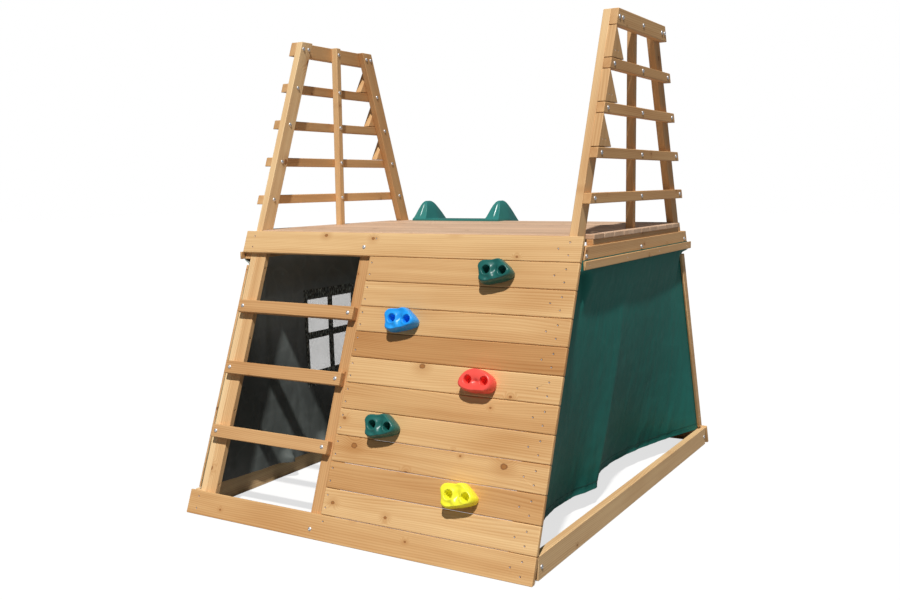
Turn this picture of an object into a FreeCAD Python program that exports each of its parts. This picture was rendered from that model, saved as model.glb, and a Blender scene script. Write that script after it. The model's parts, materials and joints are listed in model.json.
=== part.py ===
import FreeCAD, Part
import math
import os

from FreeCAD import Vector

# A timber climbing frame for a garden: two ladder-like end frames that lean together,
# a deck between them, a climbing wall with a short ladder in front, two tarp sides and a slide.
# Lengths are millimetres and angles are degrees. X runs along the front, Y to the rear, Z up.

# Overall layout
frame_width = 1400.0
frame_height = 1755.0
leg_base_depth = 1810.0
lean_angle = 20.75
deck_height = 1012.0
rail_overhang = 30.0

# End frames
leg_thickness = 28.0
leg_width = 62.0
post_width = 28.0
top_rail_height = 56.0
rung_thickness = 28.0
rung_height = 35.0
rung_count = 4
first_rung_lift = 98.5
gusset_count = 3
gusset_base = 112.0
gusset_tip = 5.0
gusset_gap = 2.0
base_beam_height = 76.0
base_beam_gap = 2.0

# Deck and what carries it
deck_thickness = 17.0
deck_board_gap = 2.0
deck_leg_gap = 6.0
deck_board_count = 10
deck_overhang = 29.0
deck_edge_gap = 1.5
deck_notch_gap = 1.0
bearer_height = 19.0
bearer_thickness = 24.0
side_rail_height = 73.0
side_rail_setback = 20.0
joist_height = 70.0
joist_width = 28.0
joist_spacing = 426.0
header_gap = 6.0

# Front wall and ladder, with lengths measured up the leaning face
wall_thickness = 17.0
wall_rail_height = 86.0
wall_board_gap = 1.0
wall_top_drop = 1.5
wall_board_count = 10
wall_left_x = -103.0
stile_depth = 22.0
side_stile_width = 46.0
middle_stile_width = 88.0
middle_stile_cover = 34.0
stile_foot_gap = 5.0
stile_head_gap = 2.0
ladder_rung_thickness = 28.0
ladder_rung_height = 47.0
ladder_rung_gap = 18.0
ladder_rung_inset = 16.0
ladder_rung_level_shares = (0.285, 0.506, 0.724)
stile_hole_radius = 4.0
stile_hole_depth = 15.0
stile_hole_level_shares = (0.109, 0.363, 0.616, 0.870)

# Climbing holds, each bolted to the middle of a wall board
hold_reach = 71.0
hold_depth = 46.0
hold_column_shares = (0.254, 0.663)
hold_pocket_radius = 13.0
hold_pocket_floor = 14.0
hold_pocket_spacing = 59.0
# Shares of the depth and of the outline's size, layer by layer from the board outwards
hold_layer_shares = ((0.0, 0.94), (0.40, 1.0), (0.80, 0.94), (1.0, 0.82))
# Shares of the reach at even angles round the middle, anticlockwise from the right
knob_outline_shares = (
    0.833, 0.728, 0.647, 0.597, 0.596, 0.618, 0.604, 0.583, 0.605, 0.735, 0.931, 1.0,
    0.896, 0.861, 0.935, 0.846, 0.669, 0.553, 0.499, 0.493, 0.504, 0.565, 0.656, 0.802,
)
half_moon_outline_shares = (
    0.810, 0.750, 0.660, 0.590, 0.550, 0.540, 0.550, 0.580, 0.630, 0.690, 0.760, 0.850,
    0.940, 0.980, 0.860, 0.705, 0.615, 0.555, 0.515, 0.530, 0.590, 0.700, 0.800, 0.830,
)

# Tarp sides and the battens that clamp them
tarp_thickness = 2.0
tarp_top_margin = 3.0
tarp_band_drop = 20.0
tarp_hem_gap = 6.0
tarp_edge_gap = 2.0
tarp_fold_depth = 72.0
tarp_front_sag = 78.0
tarp_rear_sag = 112.0
tarp_fold_place_share = 0.42
tarp_drop_shares = (0.0, 0.36, 0.70, 1.0)
tarp_slack_shares = (0.0, 0.16, 0.52, 1.0)
right_tarp_slack_share = 1.0
left_tarp_slack_share = 0.12
batten_thickness = 8.0
batten_height = 28.0
batten_lead = 20.0
batten_lag = 12.0
edge_strip_width = 38.0
edge_strip_thickness = 10.0
edge_strip_gap = 3.0

# Window panes in the left tarp
window_width = 306.0
window_height = 304.0
window_sill = 403.0
window_front_inset = 696.0
window_bar = 29.0

# Slide
slide_center_x = -347.0
slide_width = 450.0
slide_wall = 9.0
slide_lip = 96.0
slide_ramp = 62.0
slide_lip_steps = 10
slide_crest = 60.0
slide_crest_steps = 4
slide_run_steps = 25
slide_run = 1500.0
slide_side_height = 98.0
slide_exit_height = 100.0
slide_bed_share = 0.69
slide_ridge_share = 0.86
slide_fullness_power = 1.6
slide_flare_power = 1.6
slide_edge_share = 0.08
slide_outline_steps = 36
slide_screw_inset = 40.0
slide_screw_spacing = 140.0
# Shares of the lip before the deck edge (negative) or of the run behind it, of the drop from
# the deck to the exit bed, of the side height, and of the way the outer skirt falls to the ground
slide_station_shares = (
    (-1.0, 0.0, 0.83, 0.0),
    (0.006, 0.0, 0.83, 0.0),
    (0.020, 0.005, 0.83, 0.0),
    (0.045, 0.028, 0.83, 0.0),
    (0.11, 0.107, 0.83, 0.0),
    (0.22, 0.240, 0.88, 0.0),
    (0.32, 0.345, 0.93, 0.0),
    (0.42, 0.430, 0.96, 0.0),
    (0.52, 0.517, 0.96, 0.0),
    (0.62, 0.635, 0.94, 0.05),
    (0.72, 0.775, 0.92, 0.16),
    (0.81, 0.885, 0.88, 0.38),
    (0.89, 0.955, 0.80, 0.66),
    (0.95, 0.985, 0.70, 0.86),
    (1.0, 1.0, 0.60, 1.0),
)

# Fasteners
bolt_shank_radius = 3.5
bolt_head_radius = 7.5
bolt_head_height = 5.0
bolt_socket_radius = 3.2
bolt_socket_sides = 6
bolt_socket_depth = 2.4
bolt_hole_clearance = 0.5
screw_head_radius = 4.2
screw_head_depth = 2.6
screw_shank_radius = 1.9
screw_length = 38.0
strip_screw_length = 30.0
screw_hole_clearance = 0.2
screw_spread_share = 0.24
screw_end_inset = 14.0
rung_bolt_inset = 22.0
base_bolt_inset = 22.0
rail_bolt_lift_share = 0.58
top_rail_bolt_shares = (0.26, 0.74)
strip_screw_shares = (0.06, 0.5, 0.94)
gusset_screw_shares = (0.35, 0.75)
gusset_screw_lift_share = 0.22
batten_screw_count = 4
batten_screw_inset = 35.0
cut_overrun = 1.0

# Values that follow from the sizes above
lean = math.radians(lean_angle)
lean_sin = math.sin(lean)
lean_cos = math.cos(lean)
lean_tan = math.tan(lean)
wall_run = wall_thickness / lean_cos
leg_run = leg_width / lean_cos
half_width = frame_width / 2
leg_outer_x = half_width - rail_overhang
leg_inner_x = leg_outer_x - leg_thickness
rung_outer_x = leg_outer_x + rung_thickness
middle_y = wall_run + leg_base_depth / 2
deck_underside = deck_height - deck_thickness
side_rail_top = deck_underside - bearer_height
side_rail_bottom = side_rail_top - side_rail_height
top_rail_bottom = frame_height - top_rail_height
first_rung = deck_height + first_rung_lift
rung_pitch = (top_rail_bottom - first_rung) / rung_count
gusset_rise = rung_pitch - rung_height - 2 * gusset_gap
wall_top = (deck_height - wall_top_drop) / lean_cos
top_rail_start = wall_top - wall_rail_height
first_board = wall_rail_height + wall_board_gap
board_pitch = (top_rail_start - first_board) / wall_board_count
wall_board_height = board_pitch - wall_board_gap
wall_width = half_width - wall_left_x
ladder_rung_levels = [wall_top * share for share in ladder_rung_level_shares]
stile_hole_levels = [wall_top * share for share in stile_hole_level_shares]
hold_columns = [wall_left_x + wall_width * share for share in hold_column_shares]
stile_back = wall_thickness + stile_depth
middle_stile_left = wall_left_x - middle_stile_width + middle_stile_cover
side_stile_inner_x = leg_inner_x - side_stile_width
tarp_top = side_rail_bottom + batten_height + tarp_top_margin
tarp_band = side_rail_bottom - tarp_band_drop
tarp_hem = base_beam_height + tarp_hem_gap
batten_outer_x = rung_outer_x + tarp_thickness + batten_thickness
strip_outer_x = leg_outer_x + tarp_thickness + edge_strip_thickness
edge_strip_run = edge_strip_width / lean_cos
out_x = Vector(1, 0, 0)
out_front = Vector(0, -lean_cos, lean_sin)
up = Vector(0, 0, 1)


def front_plane(z):
    """Y of the front leg faces, where the wall boards lie, at a height."""
    return wall_run + z * lean_tan


def rear_plane(z):
    """Y of the rear leg faces at a height."""
    return 2 * middle_y - front_plane(z)


def slope(along, depth=0):
    """Y and Z of a point up the wall face from its toe, and depth in from that face."""
    return along * lean_sin + depth * lean_cos, along * lean_cos - depth * lean_sin


def prism(profile, x_from, x_to):
    """Solid from a closed outline of (y, z) corners, drawn out along X."""
    corners = [Vector(x_from, y, z) for y, z in profile]
    face = Part.Face(Part.makePolygon(corners + corners[:1]))
    return face.extrude(Vector(x_to - x_from, 0, 0))


def box(x_from, x_to, y_from, y_to, z_from, z_to):
    """Square block between two corners."""
    size = (x_to - x_from, y_to - y_from, z_to - z_from)
    return Part.makeBox(*size, Vector(x_from, y_from, z_from))


def panel(x_from, x_to, along_from, along_to, depth_from, depth_to):
    """Block that lies in the leaning wall."""
    ends = ((along_from, depth_from), (along_to, depth_from), (along_to, depth_to), (along_from, depth_to))
    return prism([slope(*end) for end in ends], x_from, x_to)


def band(z_from, z_to, front_gap=0, rear_gap=0):
    """Outline between the front and rear leg faces, with its ends cut to their slope."""
    return (
        (front_plane(z_from) + front_gap, z_from),
        (rear_plane(z_from) - rear_gap, z_from),
        (rear_plane(z_to) - rear_gap, z_to),
        (front_plane(z_to) + front_gap, z_to),
    )


def to_rear(shape):
    """The same piece on the other face, front to back."""
    return shape.mirror(Vector(0, middle_y, 0), Vector(0, 1, 0))


def to_left(shape):
    """The same piece in the left end frame, which is the right one turned half round."""
    turned = shape.copy()
    turned.rotate(Vector(0, middle_y, 0), up, 180)
    return turned


def along_axis(shape, place, direction):
    """Copy of a shape drawn along Z, set at a place and turned to a direction."""
    copy = shape.copy()
    copy.Placement = FreeCAD.Placement(place, FreeCAD.Rotation(up, direction))
    return copy


def turned(edges):
    """Solid of revolution about Z from the edges of a closed half section."""
    return Part.Face(Part.Wire(edges)).revolve(Vector(0, 0, 0), up, 360)


def line(start, end):
    """Straight edge."""
    return Part.LineSegment(start, end).toShape()


def flat_lines(points):
    """Straight edges through (radius, height) points of a half section."""
    places = [Vector(radius, 0, height) for radius, height in points]
    return [line(start, end) for start, end in zip(places, places[1:])]


def bolt(grip):
    """Through bolt with a domed socket head at both ends, gripping from height zero down."""
    sphere = (bolt_head_radius ** 2 + bolt_head_height ** 2) / (2 * bolt_head_height)
    half_turn = math.asin(bolt_head_radius / sphere) / 2
    bulge_radius = sphere * math.sin(half_turn)
    bulge_height = bolt_head_height - sphere + sphere * math.cos(half_turn)
    top = Vector(0, 0, bolt_head_height)
    bottom = Vector(0, 0, -grip - bolt_head_height)
    upper_rim = Vector(bolt_head_radius, 0, 0)
    lower_rim = Vector(bolt_head_radius, 0, -grip)
    shank = (
        (bolt_head_radius, 0),
        (bolt_shank_radius, 0),
        (bolt_shank_radius, -grip),
        (bolt_head_radius, -grip),
    )
    edges = [Part.Arc(top, Vector(bulge_radius, 0, bulge_height), upper_rim).toShape()]
    edges += flat_lines(shank)
    edges.append(Part.Arc(lower_rim, Vector(bulge_radius, 0, -grip - bulge_height), bottom).toShape())
    edges.append(line(bottom, top))
    socket_floor = bolt_head_height - bolt_socket_depth
    reach = bolt_socket_depth + cut_overrun
    hexagon = []
    for side in range(bolt_socket_sides + 1):
        angle = 2 * math.pi * side / bolt_socket_sides
        hexagon.append(Vector(bolt_socket_radius * math.cos(angle), bolt_socket_radius * math.sin(angle), 0))
    socket = Part.Face(Part.makePolygon(hexagon)).extrude(Vector(0, 0, reach))
    upper_socket = socket.translated(Vector(0, 0, socket_floor))
    lower_socket = socket.translated(Vector(0, 0, -grip - socket_floor - reach))
    return turned(edges).cut([upper_socket, lower_socket])


def bolt_hole(grip):
    """Clearance hole for a through bolt."""
    radius = bolt_shank_radius + bolt_hole_clearance
    return Part.makeCylinder(radius, grip + 2 * cut_overrun, Vector(0, 0, -grip - cut_overrun))


def screw(length):
    """Countersunk screw with its head flush at height zero."""
    section = (
        (0, -length),
        (0, 0),
        (screw_head_radius, 0),
        (screw_shank_radius, -screw_head_depth),
        (screw_shank_radius, -length),
        (0, -length),
    )
    return turned(flat_lines(section))


def screw_hole(length):
    """Countersink that the head fills, and a clearance hole for the shank."""
    bore = screw_shank_radius + screw_hole_clearance
    depth = length + screw_hole_clearance
    bore_start = -screw_head_depth * (screw_head_radius - bore) / (screw_head_radius - screw_shank_radius)
    section = (
        (0, -depth),
        (0, cut_overrun),
        (screw_head_radius, cut_overrun),
        (screw_head_radius, 0),
        (bore, bore_start),
        (bore, -depth),
        (0, -depth),
    )
    return turned(flat_lines(section))


deck_start = front_plane(deck_height) + leg_run + deck_leg_gap
deck_board_pitch = (2 * (middle_y - deck_start) + deck_board_gap) / deck_board_count
deck_board_width = deck_board_pitch - deck_board_gap
deck_rear_edge = rear_plane(deck_height) + wall_run
slide_entry = deck_height + slide_wall


class Fasteners:
    """One kind of fastener, set at many places, with the holes that it needs."""

    def __init__(self, solid, hole):
        self.solid = solid
        self.hole = hole
        self.solids = []
        self.holes = []

    def add(self, place, direction):
        """Set one fastener."""
        self.solids.append(along_axis(self.solid, place, direction))
        self.holes.append(along_axis(self.hole, place, direction))

    def left(self):
        """The same set in the left end frame."""
        copy = Fasteners(self.solid, self.hole)
        copy.solids = [to_left(solid) for solid in self.solids]
        copy.holes = [to_left(hole) for hole in self.holes]
        return copy


def drilled(shape, *sets):
    """Shape with the holes of the fasteners that reach it."""
    reach = shape.BoundBox
    holes = [hole for group in sets for hole in group.holes if reach.intersect(hole.BoundBox)]
    return shape.cut(holes) if holes else shape


def wall_point(x, along, depth=0):
    """Point on the leaning wall."""
    return Vector(x, *slope(along, depth))


def end_rung_levels():
    """Lower edges of the rungs of an end frame."""
    return [first_rung + index * rung_pitch for index in range(rung_count)]


def end_frame_bolts():
    """Bolts through the right end frame's rails, rungs and beam into its legs and post."""
    bolts = Fasteners(bolt(rung_thickness + leg_thickness), bolt_hole(rung_thickness + leg_thickness))
    half_leg = leg_run / 2
    for lower in end_rung_levels():
        level = lower + rung_height / 2
        for y in (front_plane(level) + half_leg, middle_y, rear_plane(level) - half_leg):
            bolts.add(Vector(rung_outer_x, y, level), out_x)
    level = frame_height - top_rail_height / 2
    for y in (front_plane(level), rear_plane(level) - leg_run):
        for share in top_rail_bolt_shares:
            bolts.add(Vector(rung_outer_x, y + leg_run * share, level), out_x)
    bolts.add(Vector(rung_outer_x, middle_y, level), out_x)
    level = side_rail_bottom + side_rail_height * rail_bolt_lift_share
    for y in (front_plane(level) + half_leg, middle_y, rear_plane(level) - half_leg):
        bolts.add(Vector(rung_outer_x, y, level), out_x)
    level = base_beam_height / 2
    inset = base_beam_start() + base_bolt_inset
    for y in (inset, 2 * middle_y - inset):
        bolts.add(Vector(rung_outer_x, y, level), out_x)
    return bolts


def base_beam_start():
    """Y where the square front end of a base beam meets the leaning bottom rail."""
    return front_plane(base_beam_height) + base_beam_gap


def batten_span(z):
    """Front and rear end of the tarp batten at a height."""
    return front_plane(z) + batten_lag, rear_plane(z) + batten_lead


def end_frame_screws():
    """Screws through the right frame's battens, tarp and gussets."""
    screws = Fasteners(screw(strip_screw_length), screw_hole(strip_screw_length))
    level = side_rail_bottom + batten_height / 2
    start, end = batten_span(level)
    first = start + batten_screw_inset
    pitch = (end - start - batten_lead - 2 * batten_screw_inset) / (batten_screw_count - 1)
    for index in range(batten_screw_count):
        screws.add(Vector(batten_outer_x, first + index * pitch, level), out_x)
    strip_start = tarp_hem + edge_strip_gap
    strip_length = tarp_band - edge_strip_gap - strip_start
    for share in strip_screw_shares:
        z = strip_start + strip_length * share
        screws.add(Vector(strip_outer_x, rear_plane(z) - edge_strip_run / 2, z), out_x)
    for lower in gusset_floors():
        z = lower + gusset_rise * gusset_screw_lift_share
        for share in gusset_screw_shares:
            screws.add(Vector(rung_outer_x, front_plane(z) + leg_run * share, z), out_x)
    return screws


def gusset_floors():
    """Lower edges of the gusset blocks, each standing on a rung near the top."""
    floors = [lower + rung_height + gusset_gap for lower in end_rung_levels()]
    return floors[-gusset_count:]


def gusset(lower):
    """Triangular block against the front leg, between one rung and the next."""
    upper = lower + gusset_rise
    corners = (
        (front_plane(lower), lower),
        (front_plane(lower) + gusset_base, lower),
        (front_plane(upper) + gusset_tip, upper),
        (front_plane(upper), upper),
    )
    return prism(corners, leg_outer_x, rung_outer_x)


def tarp_section(z, x, slack):
    """Closed outline of the tarp at a height: flat on both legs, with two slack bays between."""
    start = front_plane(z) + tarp_edge_gap
    end = rear_plane(z) - tarp_edge_gap
    fold_y = start + (end - start) * tarp_fold_place_share
    front_leg_end = front_plane(z) + leg_run
    rear_leg_end = rear_plane(z) - leg_run
    fold_x = x - tarp_fold_depth * slack

    def bay(from_x, from_y, to_x, to_y, sag):
        """One slack bay as an arc, or a straight edge where it is taut."""
        begin = Vector(from_x, from_y, z)
        finish = Vector(to_x, to_y, z)
        if slack == 0:
            return line(begin, finish)
        crown = Vector((from_x + to_x) / 2 - sag * slack, (from_y + to_y) / 2, z)
        return Part.Arc(begin, crown, finish).toShape()

    def run(offset):
        """Edges from the front end to the rear end at one face of the cloth."""
        return [
            line(Vector(x + offset, start, z), Vector(x + offset, front_leg_end, z)),
            bay(x + offset, front_leg_end, fold_x + offset, fold_y, tarp_front_sag),
            bay(fold_x + offset, fold_y, x + offset, rear_leg_end, tarp_rear_sag),
            line(Vector(x + offset, rear_leg_end, z), Vector(x + offset, end, z)),
        ]

    outer = run(tarp_thickness)
    inner = run(0)
    ends = [
        line(Vector(x + tarp_thickness, end, z), Vector(x, end, z)),
        line(Vector(x, start, z), Vector(x + tarp_thickness, start, z)),
    ]
    return Part.Wire(Part.sortEdges(outer + inner + ends)[0])


def tarp(slackness):
    """Tarp on the right end: clamped on the side rail, drawn in to the legs, slack below."""
    sections = [
        tarp_section(tarp_top, rung_outer_x, 0),
        tarp_section(side_rail_bottom, rung_outer_x, 0),
    ]
    fall = tarp_band - tarp_hem
    for drop_share, slack_share in zip(tarp_drop_shares, tarp_slack_shares):
        sections.append(tarp_section(tarp_band - fall * drop_share, leg_outer_x, slack_share * slackness))
    return Part.makeLoft(sections, True, True)


def window_openings():
    """The four panes' outlines as blocks across the left tarp."""
    pane_width = (window_width - window_bar) / 2
    pane_height = (window_height - window_bar) / 2
    blocks = []
    for column in range(2):
        y = window_front_inset + column * (pane_width + window_bar)
        for row in range(2):
            z = window_sill + row * (pane_height + window_bar)
            blocks.append(box(-frame_width, 0, y, y + pane_width, z, z + pane_height))
    return blocks


def hold(outline_shares):
    """Climbing hold with its base at height zero: a rounded block with two bolt pockets."""

    def outline(depth_share, size_share):
        """Closed outline of one layer."""
        points = []
        for step, share in enumerate(outline_shares):
            angle = 2 * math.pi * step / len(outline_shares)
            reach = hold_reach * share * size_share
            points.append(Vector(reach * math.cos(angle), reach * math.sin(angle), hold_depth * depth_share))
        curve = Part.BSplineCurve()
        curve.interpolate(points, PeriodicFlag=True)
        return Part.Wire(curve.toShape())

    body = Part.makeLoft([outline(*shares) for shares in hold_layer_shares], True, False)
    depth = hold_depth - hold_pocket_floor + cut_overrun
    pockets = []
    for side in (-1, 1):
        place = Vector(side * hold_pocket_spacing / 2, 0, hold_pocket_floor)
        pockets.append(Part.makeCylinder(hold_pocket_radius, depth, place))
    return body.cut(pockets)


def on_wall(shape, x, along):
    """Copy of a shape drawn on a flat board, set on the leaning wall."""
    copy = shape.copy()
    turn = FreeCAD.Rotation(out_x, 90 - lean_angle)
    copy.Placement = FreeCAD.Placement(wall_point(x, along), turn)
    return copy


def monotone(places, values):
    """Smooth curve through points that rises and falls only where they do."""
    steps = [end - start for start, end in zip(places, places[1:])]
    rises = [(end - start) / step for start, end, step in zip(values, values[1:], steps)]
    slopes = [rises[0]]
    for before, after in zip(rises, rises[1:]):
        slopes.append(2 * before * after / (before + after) if before * after > 0 else 0)
    slopes.append(rises[-1])

    def at(place):
        """Height of the curve at a place."""
        index = max(i for i in range(len(steps)) if i == 0 or places[i] <= place)
        turn = (place - places[index]) / steps[index]
        start, end = values[index], values[index + 1]
        lead, trail = slopes[index] * steps[index], slopes[index + 1] * steps[index]
        ease = turn * turn * (3 - 2 * turn)
        swell = turn * (1 - turn)
        return start + (end - start) * ease + swell * (lead * (1 - turn) - trail * turn)

    return at


def soft_lower(first, second, rounding):
    """The lower of two heights, rounded off where they are nearly equal."""
    lead = min(max((1 + (second - first) / rounding) / 2, 0), 1)
    return second + (first - second) * lead - rounding * lead * (1 - lead)


def slide_stations():
    """Y of each cross-section of the slide, and its shares of drop, side height and skirt fall."""
    places = [share * (slide_lip if share < 0 else slide_run) for share, *rest in slide_station_shares]
    curves = [monotone(places, column) for column in list(zip(*slide_station_shares))[1:]]
    lip = [-slide_lip + slide_lip * step / slide_lip_steps for step in range(slide_lip_steps)]
    crest = [slide_crest * step / slide_crest_steps for step in range(slide_crest_steps)]
    rest = slide_run - slide_crest
    run = [slide_crest + rest * step / slide_run_steps for step in range(slide_run_steps + 1)]
    return [(deck_rear_edge + place, *[curve(place) for curve in curves]) for place in lip + crest + run]


def slide_section(y, drop_share, side_share, skirt_share):
    """Closed cross-section of the slide at one station: bed, rolled sides and outer skirts."""
    bed = slide_entry - (slide_entry - slide_exit_height) * drop_share
    ridge = bed + slide_side_height * side_share
    skirt = bed + (slide_wall - bed) * skirt_share
    ramp = (y - deck_rear_edge + slide_lip) / slide_ramp

    def height(share):
        """Height of the upper face at a share of the half width."""
        if share <= slide_bed_share:
            return bed
        inner = share <= slide_ridge_share
        foot = slide_bed_share if inner else 1.0
        turn = (share - slide_ridge_share) / (foot - slide_ridge_share)
        arch = (1 - turn ** slide_fullness_power) ** slide_flare_power
        rise = max(soft_lower(ramp, arch, slide_edge_share), 0)
        start = bed if inner else skirt
        return start + (ridge - start) * rise

    shares = [step / slide_outline_steps for step in range(-slide_outline_steps, slide_outline_steps + 1)]
    upper = [Vector(slide_center_x + share * slide_width / 2, y, height(abs(share))) for share in shares]
    lower = [point - Vector(0, 0, slide_wall) for point in upper]
    top = Part.BSplineCurve()
    top.buildFromPoles(upper)
    underside = Part.BSplineCurve()
    underside.buildFromPoles(lower)
    return Part.Wire([
        top.toShape(),
        line(upper[-1], lower[-1]),
        underside.toShape(),
        line(lower[0], upper[0]),
    ])


def board_levels():
    """Lower edges of the wall boards, up the slope."""
    return [first_board + index * board_pitch for index in range(wall_board_count)]


def wall_screws():
    """Screws through the wall boards and rails into the stiles and legs."""
    screws = Fasteners(screw(screw_length), screw_hole(screw_length))
    leg_x = (leg_inner_x + leg_outer_x) / 2
    stile_x = (side_stile_inner_x + leg_inner_x) / 2
    left_x = wall_left_x + screw_end_inset
    spread = wall_board_height * screw_spread_share
    for lower in board_levels():
        center = lower + wall_board_height / 2
        for level in (center - spread, center + spread):
            screws.add(wall_point(left_x, level), out_front)
            screws.add(wall_point(leg_x, level), out_front)
        screws.add(wall_point(stile_x, center), out_front)
    for lower in (0, top_rail_start):
        center = lower + wall_rail_height / 2
        for level in (center - spread, center + spread):
            screws.add(wall_point(-leg_x, level), out_front)
            screws.add(wall_point(leg_x, level), out_front)
        screws.add(wall_point(stile_x, center), out_front)
        screws.add(wall_point(left_x, center + spread), out_front)
    return screws


def rear_screws():
    """Screws through the rear rails into the rear legs."""
    screws = Fasteners(screw(screw_length), screw_hole(screw_length))
    leg_x = (leg_inner_x + leg_outer_x) / 2
    spread = wall_board_height * screw_spread_share
    direction = Vector(out_front.x, -out_front.y, out_front.z)
    for lower in (0, top_rail_start):
        center = lower + wall_rail_height / 2
        for level in (center - spread, center + spread):
            for x in (-leg_x, leg_x):
                front = wall_point(x, level)
                screws.add(Vector(x, 2 * middle_y - front.y, front.z), direction)
    return screws


def ladder_ends():
    """Left and right end of the front ladder's rungs."""
    return -leg_outer_x + ladder_rung_inset, wall_left_x - ladder_rung_gap


def ladder_bolts():
    """Bolts through the ladder rungs into the stiles."""
    grip = ladder_rung_thickness + stile_depth
    bolts = Fasteners(bolt(grip), bolt_hole(grip))
    left, right = ladder_ends()
    for level in ladder_rung_levels:
        for x in (left + rung_bolt_inset, right - rung_bolt_inset):
            bolts.add(wall_point(x, level, wall_thickness - ladder_rung_thickness), out_front)
    return bolts


def rail_bolts():
    """Bolts through the front rails into the middle stile."""
    grip = wall_thickness + stile_depth
    bolts = Fasteners(bolt(grip), bolt_hole(grip))
    x = middle_stile_left + rung_bolt_inset
    spread = wall_board_height * screw_spread_share
    for center in (wall_rail_height / 2, top_rail_start + wall_rail_height / 2):
        bolts.add(wall_point(x, center - spread / 2), out_front)
    return bolts


def hold_places():
    """Name, X and wall level of each hold: on every second board, in two columns."""
    names = ("hold_yellow", "hold_green_lower", "hold_red", "hold_blue", "hold_green_upper")
    right_first = (1, 0, 1, 0, 1)
    levels = board_levels()
    places = []
    for index, (name, column) in enumerate(zip(names, right_first)):
        places.append((name, hold_columns[column], levels[1 + 2 * index] + wall_board_height / 2))
    return places


def hold_bolts():
    """Two bolts for each hold, through the hold and the board behind it."""
    grip = hold_pocket_floor + wall_thickness
    bolts = Fasteners(bolt(grip), bolt_hole(grip))
    for name, x, level in hold_places():
        for side in (-1, 1):
            bolts.add(wall_point(x + side * hold_pocket_spacing / 2, level, -hold_pocket_floor), out_front)
    return bolts


def deck_layout():
    """Front and rear edge of each deck board, the short end boards first and last."""
    start = deck_start
    rows = []
    for index in range(deck_board_count):
        row_start = start + index * deck_board_pitch
        rows.append((row_start, row_start + deck_board_width))
    front = front_plane(deck_height) + deck_edge_gap, start - deck_board_gap
    rear = 2 * middle_y - front[1], 2 * middle_y - front[0]
    return [front] + rows + [rear]


def header_front():
    """Y of the front face of the front deck header, clear of the stiles."""
    return slope(deck_underside / lean_cos, stile_back)[0] + header_gap


def deck_screws():
    """Screws through the deck boards into bearers, joists and headers."""
    screws = Fasteners(screw(screw_length), screw_hole(screw_length))
    rows = deck_layout()
    bearer_x = leg_outer_x + bearer_thickness / 2
    spread = deck_board_width * screw_spread_share
    for front, rear in rows[1:-1]:
        center = (front + rear) / 2
        for x in (-bearer_x, bearer_x):
            for y in (center - spread, center + spread):
                screws.add(Vector(x, y, deck_height), up)
        for x in (-joist_spacing / 2, joist_spacing / 2):
            screws.add(Vector(x, center, deck_height), up)
    header_y = header_front() + joist_width / 2
    for y in (header_y, 2 * middle_y - header_y):
        for x in (-joist_spacing, 0, joist_spacing):
            screws.add(Vector(x, y, deck_height), up)
    return screws


def slide_screws():
    """Screws through the slide's lip into the rear deck board."""
    screws = Fasteners(screw(screw_length), screw_hole(screw_length))
    y = deck_rear_edge - slide_lip + slide_screw_inset
    for side in (-1, 0, 1):
        screws.add(Vector(slide_center_x + side * slide_screw_spacing / 2, y, slide_entry), up)
    return screws


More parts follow.
